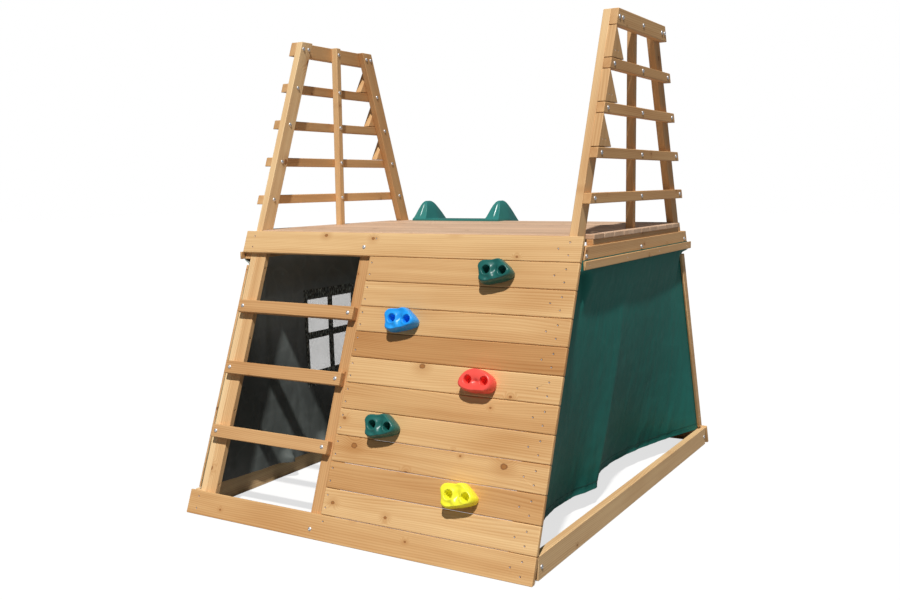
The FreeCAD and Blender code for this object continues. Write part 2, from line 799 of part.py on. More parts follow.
def build():
    """All pieces by node name, in the frame whose origin is the wall's toe."""
    nodes = {}
    frame_bolts = end_frame_bolts()
    frame_screws = end_frame_screws()
    panel_screws = wall_screws()
    back_screws = rear_screws()
    rung_bolts = ladder_bolts()
    wall_bolts = rail_bolts()
    grip_bolts = hold_bolts()
    floor_screws = deck_screws()
    chute_screws = slide_screws()

    # Right end frame, and the left one as the same frame turned half round
    feet = [(front_plane(0), 0), (front_plane(frame_height), frame_height)]
    leg = prism(feet + [(y + leg_run, z) for y, z in reversed(feet)], leg_inner_x, leg_outer_x)
    half_post = post_width / 2
    post_span = (middle_y - half_post, middle_y + half_post)
    post = box(leg_inner_x, leg_outer_x, *post_span, side_rail_bottom, frame_height)
    rail = prism(band(frame_height - top_rail_height, frame_height), leg_outer_x, rung_outer_x)
    rungs = [prism(band(z, z + rung_height), leg_outer_x, rung_outer_x) for z in end_rung_levels()]
    side_rail = prism(band(side_rail_bottom, side_rail_top, side_rail_setback), leg_outer_x, rung_outer_x)
    rows = deck_layout()
    bearer_end = leg_outer_x + bearer_thickness
    bearer = box(leg_outer_x, bearer_end, rows[1][0], rows[-2][1], side_rail_top, deck_underside)
    beam_start = base_beam_start()
    beam = box(leg_outer_x, rung_outer_x, beam_start, 2 * middle_y - beam_start, 0, base_beam_height)
    batten_x = rung_outer_x + tarp_thickness
    batten_start, batten_end = batten_span(side_rail_bottom + batten_height / 2)
    batten_top = side_rail_bottom + batten_height
    batten = box(batten_x, batten_outer_x, batten_start, batten_end, side_rail_bottom, batten_top)
    strip_x = leg_outer_x + tarp_thickness
    strip_ends = [(rear_plane(z), z) for z in (tarp_hem + edge_strip_gap, tarp_band - edge_strip_gap)]
    strip_backs = [(y - edge_strip_run, z) for y, z in reversed(strip_ends)]
    strip = prism(strip_ends + strip_backs, strip_x, strip_outer_x)
    right_sets = (frame_bolts, frame_screws, panel_screws, back_screws, floor_screws)
    left_sets = (frame_bolts.left(), frame_screws.left(), panel_screws, back_screws, floor_screws)
    pieces = {
        "front_leg": leg,
        "rear_leg": to_rear(leg),
        "centre_post": post,
        "top_rail": rail,
        "rungs": rungs,
        "gusset_blocks": [gusset(z) for z in gusset_floors()],
        "deck_side_rail": side_rail,
        "deck_bearer": bearer,
        "base_beam": beam,
        "tarp_battens": [batten, strip],
    }
    swapped = {"front_leg": "rear_leg", "rear_leg": "front_leg"}
    for name, shape in pieces.items():
        solids = shape if isinstance(shape, list) else [shape]
        nodes["right_" + name] = [drilled(solid, *right_sets) for solid in solids]
        turned_solids = [to_left(solid) for solid in solids]
        left_name = "left_" + swapped.get(name, name)
        nodes[left_name] = [drilled(solid, *left_sets) for solid in turned_solids]
    nodes["right_frame_fasteners"] = frame_bolts.solids + frame_screws.solids
    nodes["left_frame_fasteners"] = left_sets[0].solids + left_sets[1].solids

    # Tarps, the left one drawn tighter, with window panes that fill its openings
    nodes["right_tarp"] = [drilled(tarp(right_tarp_slack_share), *right_sets)]
    left_tarp = drilled(to_left(tarp(left_tarp_slack_share)), *left_sets)
    openings = window_openings()
    nodes["tarp_window"] = [left_tarp.common(block) for block in openings]
    nodes["left_tarp"] = [left_tarp.cut(openings)]

    # Front wall, ladder and stiles
    stile_top = deck_underside / lean_cos
    stile_spans = {
        "front_left_stile": (-leg_inner_x, -side_stile_inner_x),
        "front_middle_stile": (middle_stile_left, middle_stile_left + middle_stile_width),
        "front_right_stile": (side_stile_inner_x, leg_inner_x),
    }
    stile_head = deck_underside - stile_head_gap
    level_cut = box(-frame_width, frame_width, 0, frame_width, stile_foot_gap, stile_head)
    for name, (x_from, x_to) in stile_spans.items():
        stile = panel(x_from, x_to, 0, stile_top + stile_back, wall_thickness, stile_back).common(level_cut)
        nodes[name] = [drilled(stile, panel_screws, rung_bolts, wall_bolts)]
    for name, inner_x, direction in (
        ("front_left_stile", -side_stile_inner_x, out_x),
        ("front_right_stile", side_stile_inner_x, -out_x),
    ):
        holes = []
        for level in stile_hole_levels:
            mouth = wall_point(inner_x, level, wall_thickness + stile_depth / 2) + direction * cut_overrun
            reach = stile_hole_depth + cut_overrun
            holes.append(Part.makeCylinder(stile_hole_radius, reach, mouth, -direction))
        nodes[name] = [nodes[name][0].cut(holes)]
    rail_top = [slope(wall_rail_height), slope(wall_rail_height, wall_thickness)]
    bottom_rail = prism([(0, 0)] + rail_top + [(wall_run, 0)], -half_width, half_width)
    top_rail = panel(-half_width, half_width, top_rail_start, wall_top, 0, wall_thickness)
    nodes["front_bottom_rail"] = [drilled(bottom_rail, panel_screws, wall_bolts)]
    nodes["front_top_rail"] = [drilled(top_rail, panel_screws, wall_bolts)]
    for index, lower in enumerate(board_levels()):
        board = panel(wall_left_x, half_width, lower, lower + wall_board_height, 0, wall_thickness)
        nodes["wall_board_%02d" % (index + 1)] = [drilled(board, panel_screws, grip_bolts)]
    ladder_left, ladder_right = ladder_ends()
    rung_front = wall_thickness - ladder_rung_thickness
    for name, level in zip(("lower", "middle", "upper"), ladder_rung_levels):
        low, high = level - ladder_rung_height / 2, level + ladder_rung_height / 2
        rung = panel(ladder_left, ladder_right, low, high, rung_front, wall_thickness)
        nodes["front_rung_" + name] = [drilled(rung, rung_bolts)]
    knob = hold(knob_outline_shares)
    grips = {"hold_red": hold(half_moon_outline_shares)}
    for name, x, level in hold_places():
        nodes[name] = [drilled(on_wall(grips.get(name, knob), x, level), grip_bolts)]
    nodes["hold_bolts"] = grip_bolts.solids
    nodes["front_bolts"] = rung_bolts.solids + wall_bolts.solids
    nodes["wall_screws"] = panel_screws.solids + back_screws.solids

    # Rear rails and stiles, under the slide
    rear_rail = panel(-leg_outer_x, leg_outer_x, top_rail_start, wall_top, 0, wall_thickness)
    nodes["rear_top_rail"] = [drilled(to_rear(rear_rail), back_screws)]
    nodes["rear_bottom_rail"] = [drilled(to_rear(bottom_rail), back_screws)]
    for name, source in (("rear_left_stile", "front_left_stile"), ("rear_right_stile", "front_right_stile")):
        x_from, x_to = stile_spans[source]
        stile = panel(x_from, x_to, 0, stile_top + stile_back, wall_thickness, stile_back).common(level_cut)
        nodes[name] = [drilled(to_rear(stile), back_screws)]

    # Deck, with notches round the posts
    notch_size = (leg_inner_x - deck_notch_gap, leg_outer_x + deck_notch_gap)
    notch_y = half_post + deck_notch_gap
    notch = box(*notch_size, middle_y - notch_y, middle_y + notch_y, 0, frame_height)
    notches = [notch, to_left(notch)]
    long_end = leg_outer_x + deck_overhang
    short_end = leg_inner_x - deck_edge_gap
    deck_boards = []
    for index, (front, rear) in enumerate(rows):
        end = short_end if index in (0, len(rows) - 1) else long_end
        board = box(-end, end, front, rear, deck_underside, deck_height).cut(notches)
        deck_boards.append(drilled(board, floor_screws, chute_screws))
    nodes["deck_boards"] = deck_boards
    joist_bottom = deck_underside - joist_height
    header_y = header_front()
    header = box(-leg_inner_x, leg_inner_x, header_y, header_y + joist_width, joist_bottom, deck_underside)
    joist_ends = (header_y + joist_width, 2 * middle_y - header_y - joist_width)
    joists = [header, to_rear(header)]
    for side in (-1, 1):
        x = side * joist_spacing / 2 - joist_width / 2
        joists.append(box(x, x + joist_width, *joist_ends, joist_bottom, deck_underside))
    nodes["deck_joists"] = [drilled(joist, floor_screws, chute_screws) for joist in joists]
    nodes["deck_screws"] = floor_screws.solids

    # Slide
    chute = Part.makeLoft([slide_section(*station) for station in slide_stations()], True, True)
    nodes["slide_chute"] = [drilled(chute, chute_screws)]
    nodes["slide_screws"] = chute_screws.solids
    return nodes


def save(nodes):
    """Write each node, with the origin under the middle of the whole object."""
    whole_length = deck_rear_edge + slide_run
    os.makedirs("parts", exist_ok=True)
    for name, solids in nodes.items():
        shape = solids[0] if len(solids) == 1 else Part.makeCompound(solids)
        shape = shape.copy()
        shape.translate(Vector(0, -whole_length / 2, 0))
        shape.exportStep("parts/%s.step" % name)
        print(name, len(shape.Solids), "solids", shape.isValid(), round(shape.Volume))


save(build())
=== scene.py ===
import json
import logging
import math
import random
from dataclasses import dataclass
from enum import Enum
from typing import Any, Callable, ClassVar, Sequence

import bmesh
import bpy
from bmesh.types import BMEdge, BMFace, BMVert, BMesh
from bpy.types import Material, Mesh, Node, NodeSocket, NodeTree, Object
from mathutils import Matrix, Vector, noise


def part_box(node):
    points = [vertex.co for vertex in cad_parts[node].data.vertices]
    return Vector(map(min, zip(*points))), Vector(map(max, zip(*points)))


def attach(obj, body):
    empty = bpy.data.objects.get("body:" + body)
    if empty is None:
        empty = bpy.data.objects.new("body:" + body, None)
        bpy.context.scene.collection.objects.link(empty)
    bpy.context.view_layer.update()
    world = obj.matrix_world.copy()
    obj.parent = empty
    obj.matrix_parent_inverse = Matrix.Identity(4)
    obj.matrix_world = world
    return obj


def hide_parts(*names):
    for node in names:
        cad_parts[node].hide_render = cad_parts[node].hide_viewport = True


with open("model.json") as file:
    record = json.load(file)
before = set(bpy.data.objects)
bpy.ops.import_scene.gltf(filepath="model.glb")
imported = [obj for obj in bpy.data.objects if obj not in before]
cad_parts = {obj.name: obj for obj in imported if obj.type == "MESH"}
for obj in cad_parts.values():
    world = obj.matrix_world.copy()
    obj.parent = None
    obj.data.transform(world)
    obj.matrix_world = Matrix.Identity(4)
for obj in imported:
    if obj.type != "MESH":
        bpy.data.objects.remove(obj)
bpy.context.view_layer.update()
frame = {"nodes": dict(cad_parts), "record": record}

log = logging.getLogger("climbing_frame")

Colour = tuple[float, float, float, float]
Box = tuple[float, float, float, float]
Site = tuple[Vector, Vector]
Row = Sequence[BMVert]
Operator = Callable[["Value", Any], "Value"]
Settings = dict[str, Any] | None
Sockets = dict[str | int, Any] | None

WHITE: Colour = (1.0, 1.0, 1.0, 1.0)

# Metres in a millimetre, and the lean of the legs and of the climbing wall.
MM = 0.001
LEAN = math.radians(20.75)
LEAN_SIN, LEAN_COS, LEAN_TAN = math.sin(LEAN), math.cos(LEAN), math.tan(LEAN)
WALL_OUT = Vector((0, -LEAN_COS, LEAN_SIN))
WALL_UP = Vector((0, LEAN_SIN, LEAN_COS))

# Y of the wall's toe in the shared frame, and the frame's middle behind the toe, in millimetres.
TOE_SHIFT = -1481.473
MIDDLE = 923.18


def srgb(red: int, green: int, blue: int) -> Colour:
    """Linear colour from display values of 0 to 255.

    Args:
        red: Display value of red.
        green: Display value of green.
        blue: Display value of blue.

    Returns:
        The linear colour with full alpha.
    """
    parts = []
    for value in (red, green, blue):
        share = value / 255
        parts.append(share / 12.92 if share <= 0.04045 else ((share + 0.055) / 1.055) ** 2.4)
    return parts[0], parts[1], parts[2], 1.0


def toe(x: float, y: float, z: float) -> Vector:
    """Point in metres in the shared frame from millimetres off the wall's toe.

    Args:
        x: Millimetres to the right.
        y: Millimetres to the rear of the wall's toe.
        z: Millimetres above the ground.

    Returns:
        The point in the shared frame.
    """
    return Vector((x * MM, (y + TOE_SHIFT) * MM, z * MM))


def blend(low: float, high: float, value: float) -> float:
    """Smooth step from 0 at low to 1 at high."""
    share = min(max((value - low) / (high - low), 0.0), 1.0)
    return share * share * (3 - 2 * share)


def bell(offset: float, reach: float) -> float:
    """Bell curve that is 1 at no offset and about a third at its reach."""
    return math.exp(-((offset / reach) ** 2))


def skin(work: BMesh, near: Row, far: Row) -> None:
    """Span two rows of corners with four-sided faces."""
    for corners in zip(near, near[1:], far[1:], far):
        work.faces.new(corners)


def round_off(work: BMesh, edges: list[BMEdge], width: float) -> list[BMFace]:
    """Round edges of a shape off.

    Args:
        work: The shape.
        edges: The edges to round.
        width: How far the rounding reaches, in metres.

    Returns:
        The faces of the rounding.
    """
    done = bmesh.ops.bevel(
        work, geom=edges, offset=width, segments=3, profile=0.5, affect="EDGES", clamp_overlap=True
    )
    return done["faces"]


def operators(operation: str) -> tuple[Operator, Operator]:
    """Methods of Value for an operator, which add a Math node.

    Args:
        operation: The node's operation.

    Returns:
        The method, and its reflected form for a number on the left.
    """

    def plain(self: "Value", other: Any) -> "Value":
        """The value stands on the left."""
        return self.graph.math(operation, self, other)

    def reflected(self: "Value", other: Any) -> "Value":
        """The value stands on the right."""
        return self.graph.math(operation, other, self)

    return plain, reflected


class Value:
    """A node's output that takes part in Python expressions."""

    def __init__(self, graph: "Graph", socket: NodeSocket) -> None:
        """Keep the tree and the socket."""
        self.graph = graph
        self.socket = socket

    __add__, __radd__ = operators("ADD")
    __sub__, __rsub__ = operators("SUBTRACT")
    __mul__, __rmul__ = operators("MULTIPLY")
    __truediv__, __rtruediv__ = operators("DIVIDE")
    __pow__, __rpow__ = operators("POWER")

    def step(self, low: float, high: float) -> "Value":
        """Smooth step on the value.

        Args:
            low: Where the step is 0.
            high: Where the step is 1, which may be the smaller number.

        Returns:
            The step.
        """
        settings = {"interpolation_type": "SMOOTHSTEP"}
        inputs = {0: self, 1: min(low, high), 2: max(low, high), 3: 0.0, 4: 1.0}
        rising = self.graph.out("ShaderNodeMapRange", settings, inputs)
        return rising if low < high else 1 - rising


class Graph:
    """A node tree with one way to add nodes."""

    def __init__(self, tree: NodeTree) -> None:
        """Take a tree and empty it."""
        self.tree = tree
        self.tree.nodes.clear()

    def feed(self, socket: NodeSocket, value: Any) -> None:
        """Link a value to a socket, or set a constant on it.

        Args:
            socket: The input to feed.
            value: A Value, a socket, or a constant.
        """
        if isinstance(value, Value):
            self.tree.links.new(value.socket, socket)
        elif isinstance(value, NodeSocket):
            self.tree.links.new(value, socket)
        else:
            socket.default_value = value

    def node(self, kind: str, settings: Settings = None, inputs: Sockets = None) -> Node:
        """Add a node.

        Args:
            kind: The node's type name.
            settings: Properties, set before the sockets.
            inputs: Values, links or constants by socket name or number.

        Returns:
            The new node.
        """
        made = self.tree.nodes.new(kind)
        for name, value in (settings or {}).items():
            setattr(made, name, value)
        for key, value in (inputs or {}).items():
            self.feed(made.inputs[key], value)
        return made

    def out(
        self, kind: str, settings: Settings = None, inputs: Sockets = None, output: str | int = 0
    ) -> Value:
        """Add a node and give one of its outputs."""
        return Value(self, self.node(kind, settings, inputs).outputs[output])

    def math(self, operation: str, *values: Any) -> Value:
        """Add a Math node on numbers or values."""
        return self.out("ShaderNodeMath", {"operation": operation}, dict(enumerate(values)))

    def vector(self, operation: str, *values: Any, output: str | int = 0) -> Value:
        """Add a Vector Math node."""
        return self.out("ShaderNodeVectorMath", {"operation": operation}, dict(enumerate(values)), output)

    def join(self, x: Any, y: Any, z: Any) -> Value:
        """Vector from three numbers or values."""
        return self.out("ShaderNodeCombineXYZ", None, {0: x, 1: y, 2: z})

    def mix(self, factor: Any, first: Any, second: Any, mode: str = "MIX") -> Value:
        """Mix two colours."""
        settings = {"data_type": "RGBA", "blend_type": mode}
        return self.out("ShaderNodeMix", settings, {0: factor, 6: first, 7: second}, 2)

    def noise(self, place: Value, scale: float, detail: float = 2.0, rough: float = 0.5) -> Value:
        """Smooth noise from 0 to 1 at a place."""
        inputs = {"Vector": place, "Scale": scale, "Detail": detail, "Roughness": rough}
        return self.out("ShaderNodeTexNoise", None, inputs)


class Surface(Graph):
    """Node tree of a material that ends in one Principled shader."""

    def __init__(self, name: str) -> None:
        """Make the material."""
        self.material = bpy.data.materials.new(name)
        self.material.use_nodes = True
        super().__init__(self.material.node_tree)
        self.place = self.out("ShaderNodeTexCoord", None, None, "Object")

    def close(self, height: Value, strength: float, distance: float, **inputs: Any) -> Material:
        """End the tree in a shader with a bump.

        Args:
            height: What raises the surface.
            strength: How much of the bump shows.
            distance: Height in metres of a full rise.
            **inputs: The shader's sockets, with underscores for spaces.

        Returns:
            The finished material.
        """
        sockets = {name.replace("_", " "): value for name, value in inputs.items()}
        bump = {"Strength": strength, "Distance": distance, "Height": height}
        sockets["Normal"] = self.out("ShaderNodeBump", None, bump)
        shader = self.node("ShaderNodeBsdfPrincipled", None, sockets)
        self.node("ShaderNodeOutputMaterial", None, {"Surface": shader.outputs[0]})
        return self.material


class Layout(Graph):
    """Geometry Nodes that set one small shape at each of many points."""

    def __init__(self, name: str, source: str, sizes: Sequence[str]) -> None:
        """Make the tree with its named inputs.

        Args:
            name: The tree's name.
            source: Name of the input that gives the points or the path.
            sizes: Names of the inputs that give sizes.
        """
        group = bpy.data.node_groups.new(name, "GeometryNodeTree")
        inputs = {source: "NodeSocketGeometry"}
        inputs.update({size: "NodeSocketFloat" for size in sizes})
        inputs["Finish"] = "NodeSocketMaterial"
        for label, kind in inputs.items():
            group.interface.new_socket(label, in_out="INPUT", socket_type=kind)
        group.interface.new_socket("Result", in_out="OUTPUT", socket_type="NodeSocketGeometry")
        super().__init__(group)
        self.given = self.node("NodeGroupInput").outputs
        self.source = self.given[source]
        self.sizes = [Value(self, self.given[size]) for size in sizes]

    def close(self, points: Any, shape: Value, turn: Value) -> None:
        """End the tree: set the shape at the points and dress it.

        Args:
            points: Where the shapes go.
            shape: The shape.
            turn: Its rotation at each point.
        """
        inputs = {"Points": points, "Instance": shape, "Rotation": turn}
        copies = self.out("GeometryNodeInstanceOnPoints", None, inputs)
        solid = self.out("GeometryNodeRealizeInstances", None, {"Geometry": copies})
        finish = {"Geometry": solid, "Material": self.given["Finish"]}
        dressed = self.out("GeometryNodeSetMaterial", None, finish)
        self.node("NodeGroupOutput", None, {"Result": dressed})

    def attach(self, piece: Object, values: dict[str, Any]) -> None:
        """Set the tree on a piece.

        Args:
            piece: The piece with the points or the path.
            values: Sizes and finish by the inputs' names.
        """
        modifier = piece.modifiers.new(self.tree.name, "NODES")
        modifier.node_group = self.tree
        for item in self.tree.interface.items_tree:
            if item.in_out == "INPUT" and item.name in values:
                modifier[item.identifier] = values[item.name]


class Lay(Enum):
    """Which way a timber's length, width and thickness run."""

    WALL = ((1, 0, 0), (0, LEAN_SIN, LEAN_COS), (0, LEAN_COS, -LEAN_SIN))
    REAR_WALL = ((1, 0, 0), (0, -LEAN_SIN, LEAN_COS), (0, LEAN_COS, LEAN_SIN))
    FRONT_LEG = ((0, LEAN_SIN, LEAN_COS), (0, LEAN_COS, -LEAN_SIN), (1, 0, 0))
    REAR_LEG = ((0, -LEAN_SIN, LEAN_COS), (0, LEAN_COS, LEAN_SIN), (1, 0, 0))
    FRONT_STILE = ((0, LEAN_SIN, LEAN_COS), (1, 0, 0), (0, LEAN_COS, -LEAN_SIN))
    REAR_STILE = ((0, -LEAN_SIN, LEAN_COS), (1, 0, 0), (0, LEAN_COS, LEAN_SIN))
    POST = ((0, 0, 1), (0, 1, 0), (1, 0, 0))
    SIDE = ((0, 1, 0), (0, 0, 1), (1, 0, 0))
    DECK = ((1, 0, 0), (0, 1, 0), (0, 0, 1))


@dataclass(frozen=True)
class TimberFinish:
    """Planed and stained softwood with growth rings, fibres and knots."""

    pale: Colour
    dark: Colour
    knot: Colour
    ring_width: float = 0.0046
    ring_depth: float = 0.32
    streak_depth: float = 0.70
    fibre_depth: float = 0.40
    cloud_depth: float = 0.45
    blush_depth: float = 0.28
    end_depth: float = 0.10
    whole_depth: float = 0.18
    knot_length: float = 0.20
    knot_width: float = 0.15
    knot_bulge: float = 0.014
    pith_aside: float = 0.055
    pith_sway: float = 0.055
    pith_drift: float = 0.06
    tree_length: float = 60.0
    row_stride: float = 3.71
    row_spread: float = 0.18
    roughness: float = 0.52
    bump: float = 0.30
    bump_height: float = 0.0006
    gloss: float = 0.25

    def knots(self, surface: Surface, along: Value, across: Value, seed: int) -> tuple[Value, Value, Value]:
        """Masks of the knots.

        Args:
            surface: The material's tree.
            along: Place along the timber.
            across: Place across the timber.
            seed: Chooses the knots.

        Returns:
            The knots, their dark hearts, and the grain round them.
        """
        cells = surface.join(along / self.knot_length, across / self.knot_width + seed * 0.61, 0.0)
        settings = {"voronoi_dimensions": "2D"}
        inputs = {"Vector": cells, "Scale": 1.0}
        first = surface.node("ShaderNodeTexVoronoi", settings, inputs)
        second = surface.out("ShaderNodeTexVoronoi", {**settings, "feature": "F2"}, inputs)
        off = Value(surface, first.outputs["Distance"])
        draw = surface.node("ShaderNodeSeparateColor", None, {0: first.outputs["Color"]}).outputs
        kept = Value(surface, draw[0]).step(0.50, 0.52) * (second - off).step(0.0, 0.30)
        away = off / (Value(surface, draw[1]) ** 2.0 * 0.85 + 0.35)
        wobble = away + (surface.noise(surface.place, 120.0, 2.0) - 0.5) * 0.03
        core = wobble.step(0.066, 0.046) * kept
        heart = wobble.step(0.052, 0.030) * kept
        halo = away.step(0.30, 0.02) * kept
        return core, heart, halo

    def make(self, name: str, lay: Lay, middle: Vector, seed: int, tone: float, pitch: float) -> Material:
        """Make the finish for one timber, or for equal ones side by side.

        Args:
            name: The material's name.
            lay: Which way the timber runs.
            middle: The middle of the timber, or of one of a row.
            seed: Chooses the tree that it is cut from.
            tone: How light the timber is, which for some timbers is painted light.
            pitch: Spacing of the row across the timbers' width, or zero.

        Returns:
            The finished material.
        """
        pick = random.Random(seed)
        surface = Surface(name)
        apart = surface.vector("SUBTRACT", surface.place, tuple(middle))
        along, across, through = [
            surface.vector("DOT_PRODUCT", apart, axis, output="Value") for axis in lay.value
        ]
        # A darker timber is also redder.
        light = surface.join(tone ** 0.6, tone, tone ** 1.4)
        if pitch:
            row = surface.math("FLOOR", across / pitch + 0.5)
            across = across - row * pitch
            along = along + row * self.row_stride
            draw = {"W": row + seed * 0.37}
            spread = surface.out("ShaderNodeTexWhiteNoise", {"noise_dimensions": "1D"}, draw)
            scale = {0: light, "Scale": (spread - 0.5) * self.row_spread + 1.0}
            light = surface.out("ShaderNodeVectorMath", {"operation": "SCALE"}, scale)
        along = along + pick.uniform(0, self.tree_length)

        def grain(long: float, wide: float, detail: float, rough: float = 0.5) -> Value:
            """Noise that is drawn out along the timber."""
            place = surface.join(along * long, across * wide, through * wide)
            return surface.noise(place, 1.0, detail, rough)

        core, heart, halo = self.knots(surface, along, across, seed)
        sway = grain(1.4, 5.0, 1.0)
        drift = surface.noise(surface.join(along * 0.7, across * 1.5, seed * 1.3), 1.0, 1.0)
        aside = pick.uniform(-0.03, 0.03)
        side = across - aside - math.copysign(self.pith_aside, aside) + (sway - 0.5) * self.pith_sway
        deep = through - pick.uniform(0.050, 0.100) + (drift - 0.5) * self.pith_drift
        radius = surface.math("SQRT", side * side + deep * deep) + halo * self.knot_bulge
        ring = surface.math("FRACT", radius / self.ring_width + pick.uniform(0, 1))
        late = ring.step(0.25, 0.88) * ring.step(1.0, 0.90)
        fibre = grain(7.0, 520.0, 3.0, 0.65)
        streak = grain(0.9, 46.0, 2.0)
        cloud = grain(2.2, 9.0, 2.0)
        patch = surface.noise(surface.join(along * 1.1, across * 3.0, seed * 0.77), 1.0, 2.0)
        normal = surface.out("ShaderNodeNewGeometry", None, None, "Normal")
        facing = surface.vector("DOT_PRODUCT", normal, lay.value[0], output="Value")
        end_grain = surface.math("ABSOLUTE", facing).step(0.86, 0.99)
        shade = (
            late * self.ring_depth * (cloud * 0.9 + 0.35)
            + (streak - 0.44) * self.streak_depth
            + (fibre - 0.5) * self.fibre_depth
            + (cloud - 0.5) * self.cloud_depth
            + patch.step(0.50, 0.78) * self.blush_depth
            + end_grain * self.end_depth
            + self.whole_depth
        )
        shade = surface.math("MAXIMUM", surface.math("MINIMUM", shade, 1.0), 0.0)
        body = surface.mix(shade, self.pale, self.dark)
        body = surface.mix(1.0, body, light, "MULTIPLY")
        body = surface.mix(halo * 0.40, body, self.dark)
        body = surface.mix(core * 0.85, body, self.knot)
        body = surface.mix(heart * 0.65, body, self.dark)
        roughness = fibre * 0.16 + late * 0.06 + (self.roughness - 0.10)
        height = fibre * 0.5 + late * 0.35 - core * 0.4
        return surface.close(
            height, self.bump, self.bump_height,
            Base_Color=body, Roughness=roughness, Specular_IOR_Level=self.gloss,
        )


@dataclass(frozen=True)
class ClothFinish:
    """Coated woven cloth with a fine weave and soft creases; foot and head paint shade and light from the hem
    to the top.
    """

    colour: Colour
    worn: Colour
    roughness: float = 0.46
    sheen: float = 0.06
    thread: float = 0.0012
    crease: float = 0.35
    # foot and head scale the colour at the hem and at the top: painted shade and painted light, not the
    # cloth's own colour.
    foot: float = 1.0
    head: float = 1.0
    fleck: float = 0.0
    bump: float = 0.30
    bump_height: float = 0.0012

    def make(self, name: str) -> Material:
        """Make the finish on the cloth's own UV map, in metres.

        Args:
            name: The material's name.

        Returns:
            The finished material.
        """
        surface = Surface(name)
        cut = surface.out("ShaderNodeUVMap", {"uv_map": "cut"})
        parts = surface.node("ShaderNodeSeparateXYZ", None, {0: cut})
        warp, weft = Value(surface, parts.outputs[0]), Value(surface, parts.outputs[1])
        turn = 2 * math.pi / self.thread
        over = surface.math("SINE", warp * turn) * surface.math("SINE", weft * turn)
        mottle = surface.noise(surface.place, 3.5, 3.0, 0.6)
        rub = surface.noise(surface.place, 26.0, 3.0, 0.6)
        fold = surface.noise(surface.join(warp * 2.1 + mottle * 0.7, weft * 3.4, 0.0), 2.0, 2.0, 0.45)
        ridge = surface.math("ABSOLUTE", fold - 0.5).step(0.055, 0.0)
        pile = surface.noise(surface.join(warp * 95.0, weft * 50.0, 0.0), 1.0, 3.0, 0.65)
        cloudy = mottle.step(0.35, 0.75) * 0.55 + rub.step(0.52, 0.8) * 0.22 + ridge * 0.25
        tint = cloudy * (1.0 - self.fleck) + pile.step(0.44, 0.67) * self.fleck
        # Painted shade and light: the colour is scaled from foot at the hem to head at the top.
        painted_light_fade = weft.step(0.34, 0.86) * (self.head - self.foot) + self.foot
        dyed = surface.mix(tint, self.colour, self.worn)
        colour = surface.mix(1.0, dyed, surface.join(painted_light_fade, painted_light_fade, painted_light_fade), "MULTIPLY")
        roughness = self.roughness + (rub - 0.5) * 0.18 + (mottle - 0.5) * 0.12
        height = over * 0.03 + fold * self.crease * 6.0 + ridge * self.crease
        return surface.close(
            height, self.bump, self.bump_height,
            Base_Color=colour, Roughness=roughness, Specular_IOR_Level=self.sheen,
        )


@dataclass(frozen=True)
class MouldedFinish:
    """Moulded plastic with a fine cast grain and slight mottling."""

    colour: Colour
    pale: Colour
    roughness: float = 0.34
    grain: float = 900.0
    grain_depth: float = 0.12
    bump_height: float = 0.0006

    def make(self, name: str) -> Material:
        """Make the finish.

        Args:
            name: The material's name.

        Returns:
            The finished material.
        """
        surface = Surface(name)
        cloud = surface.noise(surface.place, 14.0, 3.0, 0.55)
        speck = surface.noise(surface.place, self.grain, 2.0, 0.6)
        scuff = surface.noise(surface.place, 70.0, 4.0, 0.7).step(0.60, 0.78)
        colour = surface.mix(cloud * 0.35 + scuff * 0.20, self.colour, self.pale)
        roughness = self.roughness + (cloud - 0.5) * 0.14 + scuff * 0.14 + (speck - 0.5) * 0.10
        height = speck + cloud * 0.3
        return surface.close(
            height, self.grain_depth, self.bump_height, Base_Color=colour, Roughness=roughness
        )


@dataclass(frozen=True)
class ZincFinish:
    """Bright zinc plate with a faint spangle."""

    colour: Colour = srgb(236, 238, 242)
    dull: Colour = srgb(168, 170, 174)
    metal: float = 1.0
    roughness: float = 0.42
    bump: float = 0.10
    bump_height: float = 0.0003

    def make(self, name: str) -> Material:
        """Make the finish.

        Args:
            name: The material's name.

        Returns:
            The finished material.
        """
        surface = Surface(name)
        spangle = surface.noise(surface.place, 260.0, 3.0, 0.6)
        cloud = surface.noise(surface.place, 40.0, 2.0)
        colour = surface.mix(spangle.step(0.40, 0.70) * 0.7, self.colour, self.dull)
        roughness = self.roughness + spangle * 0.16 + cloud * 0.10
        return surface.close(
            spangle, self.bump, self.bump_height,
            Base_Color=colour, Roughness=roughness, Metallic=self.metal,
        )


@dataclass(frozen=True)
class FilmFinish:
    """Clear soft film, a little milky."""

    colour: Colour = srgb(238, 239, 235)
    milky: Colour = srgb(222, 224, 221)
    cover: float = 0.29
    roughness: float = 0.18
    bump: float = 0.25
    bump_height: float = 0.002

    def make(self, name: str) -> Material:
        """Make the finish.

        Args:
            name: The material's name.

        Returns:
            The finished material.
        """
        surface = Surface(name)
        haze = surface.noise(surface.place, 9.0, 3.0, 0.6)
        ripple = surface.noise(surface.place, 22.0, 1.0)
        return surface.close(
            ripple, self.bump, self.bump_height,
            Base_Color=surface.mix(haze, self.colour, self.milky),
            Roughness=self.roughness + haze * 0.16,
            Alpha=self.cover + haze * 0.12,
        )


